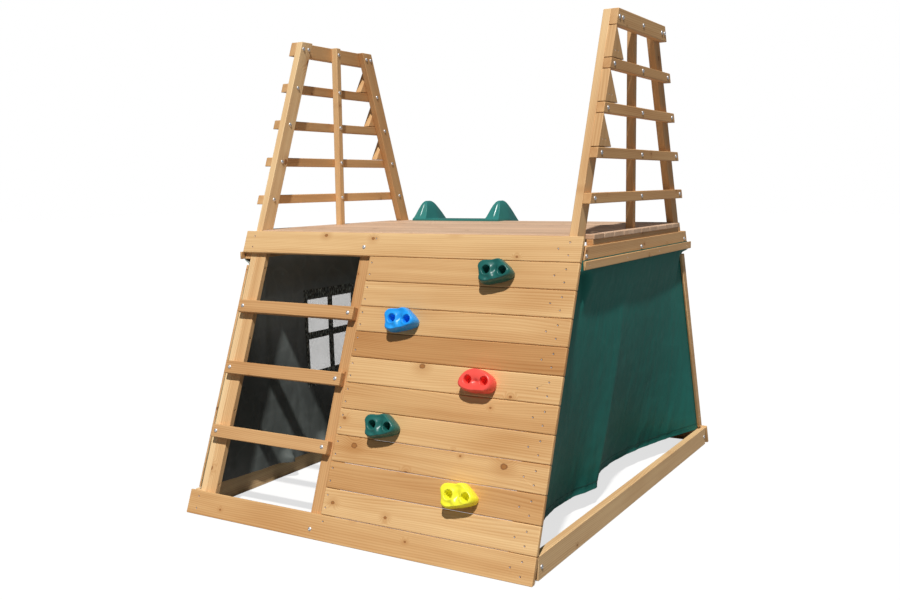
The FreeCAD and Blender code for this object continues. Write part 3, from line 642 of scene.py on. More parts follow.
class Paint:
    """The finishes of this frame, each made once."""

    FRAME = TimberFinish(srgb(229, 188, 136), srgb(178, 122, 70), srgb(112, 66, 36))
    BOARD = TimberFinish(srgb(229, 188, 134), srgb(182, 124, 68), srgb(116, 68, 36))
    DECK = TimberFinish(srgb(230, 198, 170), srgb(186, 146, 112), srgb(120, 80, 52))

    TARP = ClothFinish(srgb(42, 112, 104), srgb(48, 126, 117))
    # The inside is painted darker at the hem and much lighter at the top: painted shade and painted light for
    # how light falls under the deck.
    TARP_BACK = ClothFinish(srgb(104, 111, 109), srgb(132, 140, 138), 0.33, 0.50, foot=0.72, head=2.1)
    TAPE = ClothFinish(srgb(24, 25, 23), srgb(74, 76, 72), 0.62, 0.2, 0.0011, 0.8)
    TAPE_BACK = ClothFinish(srgb(82, 87, 83), srgb(216, 228, 222), 0.62, 0.2, 0.0011, 0.8, fleck=1.0)
    SLIDE = MouldedFinish(srgb(40, 122, 119), srgb(72, 146, 141), 0.31, 700.0, 0.03)
    HOLDS = {
        "hold_green": MouldedFinish(srgb(24, 94, 89), srgb(54, 128, 121)),
        "hold_blue": MouldedFinish(srgb(22, 156, 252), srgb(68, 186, 255)),
        "hold_red": MouldedFinish(srgb(255, 82, 72), srgb(255, 124, 114)),
        "hold_yellow": MouldedFinish(srgb(255, 250, 44), srgb(255, 252, 110)),
    }

    def __init__(self) -> None:
        """Make the finishes that don't depend on a timber's lay."""
        self.tarp = self.TARP.make("tarp_outside")
        self.tarp_back = self.TARP_BACK.make("tarp_inside")
        self.tape = self.TAPE.make("window_tape_black")
        self.tape_back = self.TAPE_BACK.make("window_tape_inside")
        self.film = FilmFinish().make("window_film_clear")
        self.slide = self.SLIDE.make("slide_teal")
        self.zinc = ZincFinish().make("zinc_plate")
        self.screw_zinc = ZincFinish(metal=0.45).make("dull_zinc_plate")
        self.holds = {slot: finish.make(slot + "_moulded") for slot, finish in self.HOLDS.items()}


class Piece:
    """Makes plain mesh objects at the origin and sets them on the frame."""

    @staticmethod
    def link(name: str, mesh: Mesh, *materials: Material) -> Object:
        """Object of a mesh with its materials.

        Args:
            name: The piece's name.
            mesh: The mesh, in the shared frame.
            *materials: Materials in slot order.

        Returns:
            The object, linked to the scene.
        """
        for material in materials:
            mesh.materials.append(material)
        made = bpy.data.objects.new(name, mesh)
        bpy.context.scene.collection.objects.link(made)
        return made

    @staticmethod
    def from_bmesh(name: str, work: BMesh, *materials: Material) -> Object:
        """Object from a bmesh, which is freed.

        Args:
            name: The piece's name.
            work: The bmesh to turn into a mesh.
            *materials: Materials in slot order.

        Returns:
            The object, linked to the scene.
        """
        mesh = bpy.data.meshes.new(name)
        work.to_mesh(mesh)
        work.free()
        return Piece.link(name, mesh, *materials)

    @staticmethod
    def smooth(piece: Object, angle: float) -> None:
        """Shade a piece smooth but for edges sharper than an angle in degrees."""
        piece.data.shade_smooth()
        piece.data.set_sharp_from_angle(angle=math.radians(angle))

    @staticmethod
    def settle(piece: Object, slot: str, *nodes: str) -> Object:
        """Let a piece ride on the frame.

        Args:
            piece: The piece.
            slot: The record's material slot; not used.
            *nodes: CAD nodes that it stands for.

        Returns:
            The same piece.
        """
        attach(piece, "root")
        if nodes:
            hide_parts(*nodes)
        log.info("%s: %d faces", piece.name, len(piece.data.polygons))
        return piece

    @staticmethod
    def applied(piece: Object) -> Mesh:
        """New mesh of a piece with its modifiers applied."""
        graph = bpy.context.evaluated_depsgraph_get()
        return bpy.data.meshes.new_from_object(piece.evaluated_get(graph))

    @staticmethod
    def bake(piece: Object) -> None:
        """Turn a piece's modifiers into its mesh.

        Args:
            piece: The piece, a mesh object.
        """
        mesh = Piece.applied(piece)
        mesh.name = piece.name
        piece.modifiers.clear()
        piece.data = mesh


@dataclass
class Timbers:
    """All timbers: the CAD shapes with eased edges and their own cut of wood."""

    ease: float = 0.0024
    board_ease: float = 0.0036
    shortest: float = 0.012
    curved: float = 0.0001
    merge: float = 2e-5
    flat_angle: float = math.radians(0.6)
    sharp_angle: float = math.radians(40)
    half_rung: float = 0.0175
    first_seed: int = 11

    SLOTS: ClassVar[dict[str, TimberFinish]] = {
        "frame_timber": Paint.FRAME, "board_timber": Paint.BOARD, "deck_timber": Paint.DECK,
    }

    LAYS: ClassVar[dict[str, Lay]] = {
        "front_leg": Lay.FRONT_LEG,
        "rear_leg": Lay.REAR_LEG,
        "centre_post": Lay.POST,
        "gusset_blocks": Lay.FRONT_LEG,
        "stile": Lay.FRONT_STILE,
        "wall_board": Lay.WALL,
        "front_rung": Lay.WALL,
        "front_top_rail": Lay.WALL,
        "front_bottom_rail": Lay.WALL,
        "rear_top_rail": Lay.REAR_WALL,
        "rear_bottom_rail": Lay.REAR_WALL,
        "deck_boards": Lay.DECK,
        "deck_joists": Lay.DECK,
    }

    # Lightness of single timbers: partly their own tone, partly painted light. left_front_leg and
    # left_base_beam are lightened to stand in for sunlight on their faces.
    TONES_AND_PAINTED_LIGHT: ClassVar[dict[str, float]] = {
        "front_top_rail": 1.21, "front_bottom_rail": 1.02, "front_middle_stile": 0.86,
        "wall_board_01": 1.19, "wall_board_02": 0.83, "wall_board_03": 1.04, "wall_board_04": 1.08,
        "wall_board_05": 0.91, "wall_board_06": 1.12, "wall_board_07": 0.69, "wall_board_08": 1.06,
        "wall_board_09": 1.10, "wall_board_10": 1.00, "front_left_stile": 1.06,
        "front_rung_lower": 0.90, "front_rung_middle": 0.88, "front_rung_upper": 0.84,
        "left_front_leg": 1.46, "left_centre_post": 1.16, "left_rungs": 0.98, "right_rungs": 0.86,
        "right_front_leg": 1.22, "right_base_beam": 1.28, "left_base_beam": 1.50,
    }

    # Spacing in metres of the timbers that share a node, and the middle of one deck board.
    PITCHES: ClassVar[dict[str, float]] = {
        "deck_boards": 0.09006, "left_rungs": 0.147125, "right_rungs": 0.147125,
    }
    DECK_BOARD: ClassVar[Vector] = toe(0, MIDDLE - 45.03, 1003.5)

    def lay_of(self, node: str) -> Lay:
        """Which way a node's timber runs.

        Args:
            node: The CAD node.

        Returns:
            Its lay.
        """
        if node.startswith("rear_") and node.endswith("stile"):
            return Lay.REAR_STILE
        if node == "left_gusset_blocks":
            return Lay.REAR_LEG
        for word, lay in self.LAYS.items():
            if word in node:
                return lay
        return Lay.SIDE

    def middle_of(self, node: str) -> Vector:
        """Middle of a node's timber, or of one of a row.

        Args:
            node: The CAD node.

        Returns:
            The point in the shared frame.
        """
        if node == "deck_boards":
            return self.DECK_BOARD
        low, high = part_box(node)
        if node in self.PITCHES:
            return low + Vector((0, 0, self.half_rung))
        return (low + high) / 2

    def eased(self, node: str) -> BMesh:
        """Copy of a CAD timber with its long edges rounded.

        Args:
            node: The CAD node.

        Returns:
            The new shape.
        """
        work = bmesh.new()
        work.from_mesh(frame["nodes"][node].data)
        bmesh.ops.remove_doubles(work, verts=work.verts, dist=self.merge)
        bmesh.ops.dissolve_limit(work, angle_limit=self.flat_angle, verts=work.verts, edges=work.edges)
        for face in work.faces:
            face.smooth = face.calc_area() < self.curved
        sharp = []
        for edge in work.edges:
            if edge.is_manifold and edge.calc_length() > self.shortest:
                if edge.calc_face_angle() > self.sharp_angle:
                    sharp.append(edge)
        width = self.board_ease if "wall_board" in node else self.ease
        for face in round_off(work, sharp, width):
            face.smooth = True
        return work

    def build(self) -> None:
        """Make every timber."""
        for seed, entry in enumerate(frame["record"]["subparts"], self.first_seed):
            node, slot = entry["node"], entry["material_slot"]
            if slot not in self.SLOTS:
                continue
            tone = self.TONES_AND_PAINTED_LIGHT.get(node, 1.0)
            pitch = self.PITCHES.get(node, 0.0)
            finish = self.SLOTS[slot].make(
                node + "_wood", self.lay_of(node), self.middle_of(node), seed, tone, pitch
            )
            made = Piece.from_bmesh(node + "_timber", self.eased(node), finish)
            Piece.settle(made, slot, node)


class Head(Enum):
    """Kinds of fastener head."""

    SCREW = "screw_head"
    BOLT = "bolt_head"


@dataclass
class Fasteners:
    """Screw and bolt heads, set by Geometry Nodes where the CAD fasteners are."""

    paint: Paint
    screw_radius: float = 0.0042
    screw_depth: float = 0.0016
    screw_drive: float = 1.15
    slot_share: float = 0.22
    proud: float = -0.0002
    bolt_radius: float = 0.0075
    bolt_rise: float = 0.0050
    bolt_drive: float = 0.42
    bolt_reach: float = 0.006
    merge: float = 1e-5
    crease: float = 35.0
    spin_seed: int = 7

    NODES: ClassVar[tuple[str, ...]] = (
        "left_frame_fasteners", "right_frame_fasteners", "wall_screws", "front_bolts", "hold_bolts",
        "deck_screws", "slide_screws",
    )
    AXES: ClassVar[tuple[Vector, ...]] = (
        Vector((1, 0, 0)), Vector((0, 0, 1)), WALL_OUT, Vector((0, LEAN_COS, LEAN_SIN)),
    )

    @staticmethod
    def islands(work: BMesh) -> list[list[Vector]]:
        """Corners of each separate solid of a shape.

        Args:
            work: The shape.

        Returns:
            For each solid, the places of its corners.
        """
        found = []
        seen: set[BMVert] = set()
        for start in work.verts:
            if start in seen:
                continue
            island = []
            queue = [start]
            seen.add(start)
            while queue:
                vert = queue.pop()
                island.append(vert.co)
                for edge in vert.link_edges:
                    other = edge.other_vert(vert)
                    if other not in seen:
                        seen.add(other)
                        queue.append(other)
            found.append(island)
        return found

    @staticmethod
    def axis_point(island: Sequence[Vector], axis: Vector, middle: Vector) -> Vector:
        """Point on a fastener's axis, level with the mean of its corners.

        Args:
            island: The fastener's corners.
            axis: Which way it runs.
            middle: The mean of its corners.

        Returns:
            The point.
        """
        side = axis.orthogonal().normalized()
        point = middle.copy()
        for way in (side, axis.cross(side)):
            reach = [(corner - middle).dot(way) for corner in island]
            point += way * (min(reach) + max(reach)) / 2
        return point

    def sites(self, node: str) -> dict[Head, list[Site]]:
        """Places and outward axes of the heads of a CAD node.

        Args:
            node: A CAD node of fasteners.

        Returns:
            For each kind of head, its places with their axes.
        """
        work = bmesh.new()
        work.from_mesh(frame["nodes"][node].data)
        bmesh.ops.remove_doubles(work, verts=work.verts, dist=self.merge)
        found: dict[Head, list[Site]] = {kind: [] for kind in Head}
        for island in self.islands(work):
            middle = sum(island, Vector()) / len(island)
            spans = []
            for axis in self.AXES:
                heights = [(point - middle).dot(axis) for point in island]
                spans.append((max(heights) - min(heights), min(heights), max(heights), axis))
            _, lowest, highest, axis = max(spans, key=lambda span: span[0])
            reach = [((point - middle) - axis * (point - middle).dot(axis)).length for point in island]
            core = self.axis_point(island, axis, middle)
            if max(reach) > self.bolt_reach:
                found[Head.BOLT].append((core + axis * (highest - self.bolt_rise), axis))
                found[Head.BOLT].append((core + axis * (lowest + self.bolt_rise), -axis))
            else:
                wide = max(zip(reach, island), key=lambda pair: pair[0])[1]
                if (wide - middle).dot(axis) > (lowest + highest) / 2:
                    found[Head.SCREW].append((core + axis * highest, axis))
                else:
                    found[Head.SCREW].append((core + axis * lowest, -axis))
        work.free()
        return found

    def layout(self, kind: Head) -> Layout:
        """Geometry Nodes that set one head at each point.

        Args:
            kind: Which head.

        Returns:
            The node tree.
        """
        layout = Layout(kind.value, "Sites", ("Radius", "Rise", "Drive"))
        radius, rise, drive = layout.sizes
        if kind is Head.SCREW:
            sizes = {"Vertices": 18, "Radius Top": radius, "Radius Bottom": radius * 0.5, "Depth": rise}
            plain = layout.out("GeometryNodeMeshCone", None, sizes)
            place = {"Translation": layout.join(0.0, 0.0, self.proud - rise)}
            cross = layout.node("GeometryNodeJoinGeometry")
            narrow = drive * self.slot_share
            for length, width in ((drive, narrow), (narrow, drive)):
                bar = layout.out("GeometryNodeMeshCube", None, {"Size": layout.join(length, width, rise)})
                layout.feed(cross.inputs[0], bar)
            cutter = Value(layout, cross.outputs[0])
        else:
            sizes = {"Segments": 24, "Rings": 14, "Radius": 1.0}
            plain = layout.out("GeometryNodeMeshUVSphere", None, sizes)
            place = {"Scale": layout.join(radius, radius, rise)}
            sizes = {"Vertices": 6, "Radius": drive, "Depth": rise}
            hexagon = layout.out("GeometryNodeMeshCylinder", None, sizes)
            raised = {"Geometry": hexagon, "Translation": layout.join(0.0, 0.0, rise)}
            cutter = layout.out("GeometryNodeTransform", None, raised)
        body = layout.out("GeometryNodeTransform", None, {"Geometry": plain, **place})
        shapes = {"Mesh 1": body, "Mesh 2": cutter}
        head = layout.out("GeometryNodeMeshBoolean", {"operation": "DIFFERENCE"}, shapes)
        axis = layout.out("GeometryNodeInputNamedAttribute", {"data_type": "FLOAT_VECTOR"}, {"Name": "axis"})
        aim = layout.out("FunctionNodeAlignRotationToVector", {"axis": "Z"}, {"Vector": axis})
        limits = {2: 0.0, 3: 2 * math.pi, "Seed": self.spin_seed}
        turn = layout.out("FunctionNodeRandomValue", {"data_type": "FLOAT"}, limits, 1)
        spin = layout.out("FunctionNodeAxisAngleToRotation", None, {"Axis": (0.0, 0.0, 1.0), "Angle": turn})
        pose = layout.out("FunctionNodeRotateRotation", {"rotation_space": "LOCAL"}, {0: aim, 1: spin})
        layout.close(layout.source, head, pose)
        return layout

    def heads(self, name: str, kind: Head, layout: Layout, places: list[Site]) -> Object:
        """One mesh of heads.

        Args:
            name: The piece's name.
            kind: Which head.
            layout: Its node tree.
            places: Places with their outward axes.

        Returns:
            The piece.
        """
        mesh = bpy.data.meshes.new(name)
        mesh.from_pydata([place for place, _ in places], [], [])
        stored = mesh.attributes.new("axis", "FLOAT_VECTOR", "POINT")
        for item, (_, axis) in zip(stored.data, places):
            item.vector = axis
        made = Piece.link(name, mesh)
        screw = kind is Head.SCREW
        values = {
            "Radius": self.screw_radius if screw else self.bolt_radius,
            "Rise": self.screw_depth if screw else self.bolt_rise,
            "Drive": self.screw_radius * self.screw_drive if screw else self.bolt_radius * self.bolt_drive,
            "Finish": self.paint.screw_zinc if screw else self.paint.zinc,
        }
        layout.attach(made, values)
        Piece.bake(made)
        Piece.smooth(made, self.crease)
        return made

    def build(self) -> None:
        """Make the heads of every CAD node of fasteners."""
        layouts = {kind: self.layout(kind) for kind in Head}
        for node in self.NODES:
            stands_for = [node]
            for kind, places in self.sites(node).items():
                if not places:
                    continue
                made = self.heads(f"{node}_{kind.value}s", kind, layouts[kind], places)
                Piece.settle(made, "zinc", *stands_for)
                stands_for = []


class Grip(Enum):
    """Outlines of a hold: shares of its reach at equal turns from the right."""

    KNOB = (
        0.833, 0.728, 0.647, 0.597, 0.596, 0.618, 0.604, 0.583, 0.605, 0.735, 0.931, 1.0,
        0.896, 0.861, 0.935, 0.846, 0.669, 0.553, 0.499, 0.493, 0.504, 0.565, 0.656, 0.802,
    )
    HALF_MOON = (
        0.810, 0.750, 0.660, 0.590, 0.550, 0.540, 0.550, 0.580, 0.630, 0.690, 0.760, 0.850,
        0.940, 0.980, 0.860, 0.705, 0.615, 0.555, 0.515, 0.530, 0.590, 0.700, 0.800, 0.830,
    )

    def at(self, turn: float) -> float:
        """Share of the reach on a smooth closed curve.

        Args:
            turn: Share of a full turn.

        Returns:
            The share of the reach.
        """
        count = len(self.value)
        index, rest = divmod(turn * count, 1.0)
        before, start, end, after = [self.value[(int(index) + shift) % count] for shift in (-1, 0, 1, 2)]
        bend = 2 * before - 5 * start + 4 * end - after + (3 * start - before - 3 * end + after) * rest
        return start + 0.5 * rest * (end - before + rest * bend)


@dataclass(frozen=True)
class Dent:
    """A soft dent in a hold's face, or a swelling, in millimetres."""

    height: float
    x: float
    x_reach: float
    y: float
    y_reach: float

    def at(self, x: float, y: float) -> float:
        """Height at a place on the face."""
        return self.height * bell(x - self.x, self.x_reach) * bell(y - self.y, self.y_reach)


@dataclass
class Holds:
    """Climbing holds: lobed grips with a deep bolt pocket on each side."""

    paint: Paint
    reach: float = 71.0
    depth: float = 46.0
    pocket_floor: float = 14.0
    pocket_radius: float = 13.0
    pocket_spacing: float = 59.0
    pocket_foot: float = 1.6
    pocket_lip: float = 2.2
    rim_height: float = 1.8
    rim_radius: float = 17.5
    rim_reach: float = 5.0
    near_floor: float = 0.0003
    face_rings: int = 40
    spokes: int = 128
    crease: float = 70.0

    GRIPS: ClassVar[dict[str, Grip]] = {
        "hold_yellow": Grip.KNOB, "hold_green_lower": Grip.KNOB, "hold_red": Grip.HALF_MOON,
        "hold_blue": Grip.KNOB, "hold_green_upper": Grip.KNOB,
    }
    # Share of the height and share of the outline, from the board up to the brim of the face.
    FLANK: ClassVar[tuple[tuple[float, float], ...]] = (
        (-0.01, 0.940), (0.0, 0.940), (0.10, 0.966), (0.22, 0.988), (0.36, 1.0), (0.50, 0.997),
        (0.62, 0.985), (0.72, 0.973), (0.80, 0.957), (0.87, 0.936), (0.925, 0.912), (0.965, 0.885),
        (0.987, 0.858), (1.0, 0.830),
    )
    DENTS: ClassVar[dict[Grip, tuple[Dent, ...]]] = {
        Grip.KNOB: (
            Dent(-8.0, 2.0, 9.0, 3.0, 15.0), Dent(2.6, -8.0, 8.0, -21.0, 9.0),
            Dent(-3.4, -22.0, 9.0, -27.0, 9.0), Dent(-3.0, -4.0, 15.0, 27.0, 9.0),
        ),
        Grip.HALF_MOON: (Dent(-7.0, 0.0, 10.0, -4.0, 7.0), Dent(2.0, 0.0, 30.0, 17.0, 12.0)),
    }

    def pockets(self, x: float, y: float) -> list[float]:
        """Distances of a place from the middles of the two pockets."""
        return [math.hypot(x - side * self.pocket_spacing / 2, y) for side in (-1, 1)]

    def relief(self, grip: Grip, x: float, y: float) -> float:
        """Height of the hold's front face but for its pockets.

        Args:
            grip: Which outline.
            x: Millimetres along the board from the middle.
            y: Millimetres up the board from the middle.

        Returns:
            The height in millimetres.
        """
        height = self.depth + sum(dent.at(x, y) for dent in self.DENTS[grip])
        if grip is Grip.KNOB:
            for away in self.pockets(x, y):
                height += self.rim_height * bell(away - self.rim_radius, self.rim_reach)
        return height

    def rise(self, grip: Grip, x: float, y: float) -> float:
        """Height of the hold's front face with its pockets.

        Args:
            grip: Which outline.
            x: Millimetres along the board from the middle.
            y: Millimetres up the board from the middle.

        Returns:
            The height in millimetres.
        """
        height = self.relief(grip, x, y)
        foot, lip = self.pocket_radius - self.pocket_foot, self.pocket_radius + self.pocket_lip
        for away in self.pockets(x, y):
            height += (self.pocket_floor - height) * (1 - blend(foot, lip, away))
        return height

    def rows(self, grip: Grip) -> list[list[Vector]]:
        """Rings of corners from the hold's foot up its flank and in over its face.

        Args:
            grip: Which outline.

        Returns:
            The rings, in metres on the board.
        """
        brim = self.FLANK[-1][1]
        outline = []
        for spoke in range(self.spokes):
            turn = spoke / self.spokes
            reach = self.reach * grip.at(turn)
            x, y = reach * math.cos(2 * math.pi * turn), reach * math.sin(2 * math.pi * turn)
            outline.append((x, y, self.relief(grip, x * brim, y * brim)))
        rings = []
        for lift, size in self.FLANK[:-1]:
            rings.append([Vector((x * size, y * size, crown * lift)) * MM for x, y, crown in outline])
        for step in range(self.face_rings):
            size = brim * (1 - step / self.face_rings)
            ring = []
            for x, y, _ in outline:
                ring.append(Vector((x * size, y * size, self.rise(grip, x * size, y * size))) * MM)
            rings.append(ring)
        return rings

    def seat(self, node: str) -> Matrix:
        """Place of a hold's middle between its bolts, with X along the board and Z out of it.

        Args:
            node: The hold's CAD node.

        Returns:
            The place and turn of the hold.
        """
        foot = toe(0, 0, 0)
        corners = [corner.co for corner in frame["nodes"][node].data.vertices]
        heights = [(corner - foot).dot(WALL_OUT) for corner in corners]
        floor = min(heights) + self.pocket_floor * MM
        pocket = []
        for corner, height in zip(corners, heights):
            if abs(height - floor) < self.near_floor:
                pocket.append(corner)
        along = [(corner - foot).dot(WALL_UP) for corner in pocket]
        across = [corner.x for corner in pocket]
        place = foot + WALL_UP * (min(along) + max(along)) / 2 + WALL_OUT * min(heights)
        place.x = (min(across) + max(across)) / 2
        turn = Matrix((Vector((1, 0, 0)), WALL_UP, WALL_OUT)).transposed().to_4x4()
        return Matrix.Translation(place) @ turn

    def build(self) -> None:
        """Make the five holds on their boards."""
        for node, grip in self.GRIPS.items():
            slot = "hold_green" if "green" in node else node
            seat = self.seat(node)
            work = bmesh.new()
            rings = [[work.verts.new(seat @ corner) for corner in ring] for ring in self.rows(grip)]
            crown = work.verts.new(seat @ Vector((0, 0, self.rise(grip, 0, 0) * MM)))
            work.faces.new(rings[0])
            for outer, inner in zip(rings, rings[1:]):
                skin(work, [*outer, outer[0]], [*inner, inner[0]])
            brim = [*rings[-1], rings[-1][0]]
            for corner, after in zip(brim, brim[1:]):
                work.faces.new((crown, corner, after))
            bmesh.ops.recalc_face_normals(work, faces=work.faces)
            made = Piece.from_bmesh(node + "_grip", work, self.paint.holds[slot])
            Piece.smooth(made, self.crease)
            Piece.settle(made, slot, node)


@dataclass(frozen=True)
class Ripple:
    """Small folds of a cloth, as noise in millimetres."""

    along: float
    lean: float
    up: float
    shift: float
    depth: float

    def at(self, y: float, z: float, seed: float) -> float:
        """Depth of the folds at a place."""
        place = Vector((y * self.along + z * self.lean, z * self.up, seed + self.shift))
        return abs(noise.noise(place)) * self.depth


@dataclass(frozen=True)
class Tuck:
    """A place where a tarp's hem is crumpled inwards, in millimetres."""

    middle: float
    reach: float
    rise: float
    depth: float

    def at(self, y: float, lift: float) -> float:
        """How far the cloth comes in at a place above the hem."""
        return self.depth * bell(y - self.middle, self.reach) * blend(self.rise, 0.0, lift)


@dataclass
class Tarps:
    """The two tarps under the deck, slack between the legs, and the left one's window."""

    paint: Paint
    hem: float = 82.0
    band: float = 883.0
    rail: float = 903.0
    top: float = 934.0
    leg_face: float = 671.0
    rail_face: float = 699.0
    wall_run: float = 18.179
    leg_run: float = 66.3
    margin: float = 2.0
    fold_share: float = 0.42
    fold_depth: float = 72.0
    fold_round: float = 18.0
    front_sag: float = 78.0
    rear_sag: float = 112.0
    rear_bend: float = 0.74
    bay_ease: float = 70.0
    leg_drop: float = 20.0
    bay_drop: float = 150.0
    pull_drop: float = 120.0
    slack_bend: float = 1.85
    left_slack: float = 0.12
    hem_sag: float = 16.0
    cut_width: float = 1.75
    cut_length: float = 0.89
    columns: int = 210
    rows: int = 130
    thickness: float = 0.0010
    film_thickness: float = 0.0006
    tape_thickness: float = 0.0030
    crease: float = 50.0
    stitch_row: int = 4
    stitch_lift: float = 0.0008
    stitch_pitch: float = 0.0075
    stitch_length: float = 0.0048
    stitch_thread: float = 0.0005

    FINE: ClassVar[Ripple] = Ripple(0.0085, 0.0, 0.0016, 0.0, 9.0)
    DRAPE: ClassVar[Ripple] = Ripple(0.021, 0.004, 0.0042, 5.0, 2.2)
    PULL: ClassVar[Ripple] = Ripple(0.03, 0.0, 0.012, 9.0, 1.2)
    TUCKS: ClassVar[tuple[Tuck, ...]] = (Tuck(1331.0, 26.0, 40.0, 38.0), Tuck(1100.0, 24.0, 62.0, 38.0))

    # Low and high Y and Z of the window, the width of its bars, and its border at front, rear, foot and head.
    WINDOW: ClassVar[Box] = (696.0, 1002.0, 403.0, 707.0)
    BAR: ClassVar[float] = 29.0
    BORDER: ClassVar[Box] = (21.0, 21.0, 62.0, 42.0)

    def span(self, z: float, inset: float) -> tuple[float, float]:
        """Front and rear Y off the toe at a height, some way in from the outer leg faces."""
        front = self.wall_run + z * LEAN_TAN
        return front + inset, 2 * MIDDLE - front - inset

    def inward(self, y: float, z: float) -> float:
        """How far the slack cloth at the hem would hang in at a place.

        Args:
            y: Millimetres to the rear of the toe.
            z: Height in millimetres.

        Returns:
            The depth in millimetres.
        """
        start, end = self.span(z, self.leg_run)
        if y <= start or y >= end:
            return 0.0
        left, right = self.span(z, self.margin)
        fold = left + (right - left) * self.fold_share
        if y < fold:
            share = (y - start) / (fold - start)
            return self.fold_depth * share + self.front_sag * 4 * share * (1 - share)
        share = ((y - fold) / (end - fold)) ** self.rear_bend
        return self.fold_depth * (1 - share) + self.rear_sag * 4 * share * (1 - share)

    def depth_at(self, y: float, z: float, seed: float, slackness: float) -> float:
        """X of the right tarp's middle surface, in millimetres.

        Args:
            y: Millimetres to the rear of the toe.
            z: Height in millimetres.
            seed: Chooses the small folds.
            slackness: Share of the full slack.

        Returns:
            The place across the frame.
        """
        start, end = self.span(z, self.leg_run)
        bay = blend(0.0, self.bay_ease, y - start) * blend(0.0, self.bay_ease, end - y)
        drop = self.leg_drop + self.bay_drop * bay
        under_rail = blend(self.rail - drop, self.rail - 1.0, z)
        sheet = self.leg_face + (self.rail_face - self.leg_face) * under_rail
        share = min(max((self.band - z) / (self.band - self.hem), 0.0), 1.0)
        slack = slackness * share ** self.slack_bend
        reach = min(max(min(y - start, end - y), 0.0), self.fold_round)
        mean = sum(self.inward(y + reach * shift / 3, z) for shift in range(-3, 4)) / 7
        fine = self.FINE.at(y, z, seed) * share * bay
        drape = self.DRAPE.at(y, z, seed) * (0.25 + share) * bay
        pull = self.PULL.at(y, z, seed) * bay * blend(self.top, self.rail - self.pull_drop, z)
        return sheet - mean * slack - fine - drape - pull

    def sheet(self, left: bool) -> BMesh:
        """Middle surface of a tarp with its cut as a UV map.

        Args:
            left: True for the left end, which is the right one turned half round and drawn tighter.

        Returns:
            The surface.
        """
        work = bmesh.new()
        cut = work.loops.layers.uv.new("cut")
        seed, slackness = (3.0, self.left_slack) if left else (1.0, 1.0)
        grid = []
        for row in range(self.rows + 1):
            share = row / self.rows
            line = []
            for column in range(self.columns + 1):
                along = column / self.columns
                sag = self.hem_sag * math.sin(math.pi * along) ** 0.6 * (1 - share) ** 3
                z = self.hem - sag + (self.top - self.hem + sag) * share
                level = max(z, self.hem)
                front, rear = self.span(level, self.margin)
                y = front + (rear - front) * along
                x = self.depth_at(y, level, seed, slackness)
                if left:
                    x -= sum(tuck.at(y, level - self.hem) for tuck in self.TUCKS)
                place = toe(-x, 2 * MIDDLE - y, z) if left else toe(x, y, z)
                line.append((work.verts.new(place), (along * self.cut_width, share * self.cut_length)))
            grid.append(line)
        for low, high in zip(grid, grid[1:]):
            for corners in zip(low, low[1:], high[1:], high):
                face = work.faces.new([corner[0] for corner in corners])
                for loop, corner in zip(face.loops, corners):
                    loop[cut].uv = corner[1]
        bmesh.ops.recalc_face_normals(work, faces=work.faces)
        outward = sum((face.normal.x for face in work.faces), 0.0)
        if (outward < 0) != left:
            bmesh.ops.reverse_faces(work, faces=work.faces)
        return work

    def panes(self) -> list[Box]:
        """Low and high Y and Z of the four panes, off the toe.

        Returns:
            The four panes.
        """
        y_low, y_high, z_low, z_high = self.WINDOW
        wide = (y_high - y_low - self.BAR) / 2
        tall = (z_high - z_low - self.BAR) / 2
        return [
            (y, y + wide, z, z + tall)
            for y in (y_low, y_low + wide + self.BAR)
            for z in (z_low, z_low + tall + self.BAR)
        ]

    def outline(self) -> Box:
        """Low and high Y and Z of the window with its border, off the toe."""
        y_low, y_high, z_low, z_high = self.WINDOW
        front, rear, below, above = self.BORDER
        return y_low - front, y_high + rear, z_low - below, z_high + above

    def divided(self, work: BMesh) -> None:
        """Cut a surface along the window's lines.

        Args:
            work: The surface.
        """
        boxes = [self.outline(), *self.panes()]
        lines_y = {line for box in boxes for line in box[:2]}
        lines_z = {line for box in boxes for line in box[2:]}
        for lines, axis in ((sorted(lines_y), Vector((0, 1, 0))), (sorted(lines_z), Vector((0, 0, 1)))):
            for line in lines:
                point = toe(0, line, line)
                geometry = [*work.verts, *work.edges, *work.faces]
                bmesh.ops.bisect_plane(work, geom=geometry, dist=1e-6, plane_co=point, plane_no=axis)

    @staticmethod
    def kept(source: BMesh, wanted: Callable[[Vector], bool]) -> BMesh:
        """Copy of a surface with only some of its faces.

        Args:
            source: The surface.
            wanted: Says of a face's middle whether the face stays.

        Returns:
            The copy.
        """
        work = source.copy()
        spare = [face for face in work.faces if not wanted(face.calc_center_median())]
        bmesh.ops.delete(work, geom=spare, context="FACES")
        return work

    @staticmethod
    def inside(place: Vector, box: Box) -> bool:
        """True where a point's Y and Z off the toe lie in a box."""
        y, z = place.y / MM - TOE_SHIFT, place.z / MM
        return box[0] < y < box[1] and box[2] < z < box[3]

    def in_pane(self, place: Vector) -> bool:
        """True in the area of a pane."""
        return any(self.inside(place, pane) for pane in self.panes())

    def on_tape(self, place: Vector) -> bool:
        """True on the window's bars and border."""
        return self.inside(place, self.outline()) and not self.in_pane(place)

    def thick(self, piece: Object, thickness: float, back: int = 0) -> None:
        """Give a surface its thickness about its middle.

        Args:
            piece: The surface.
            thickness: The thickness in metres.
            back: Steps from the outer side's material to the inner side's.
        """
        solid = piece.modifiers.new("thickness", "SOLIDIFY")
        solid.thickness = thickness
        solid.offset = 0.0
        solid.material_offset = back
        Piece.bake(piece)
        Piece.smooth(piece, self.crease)

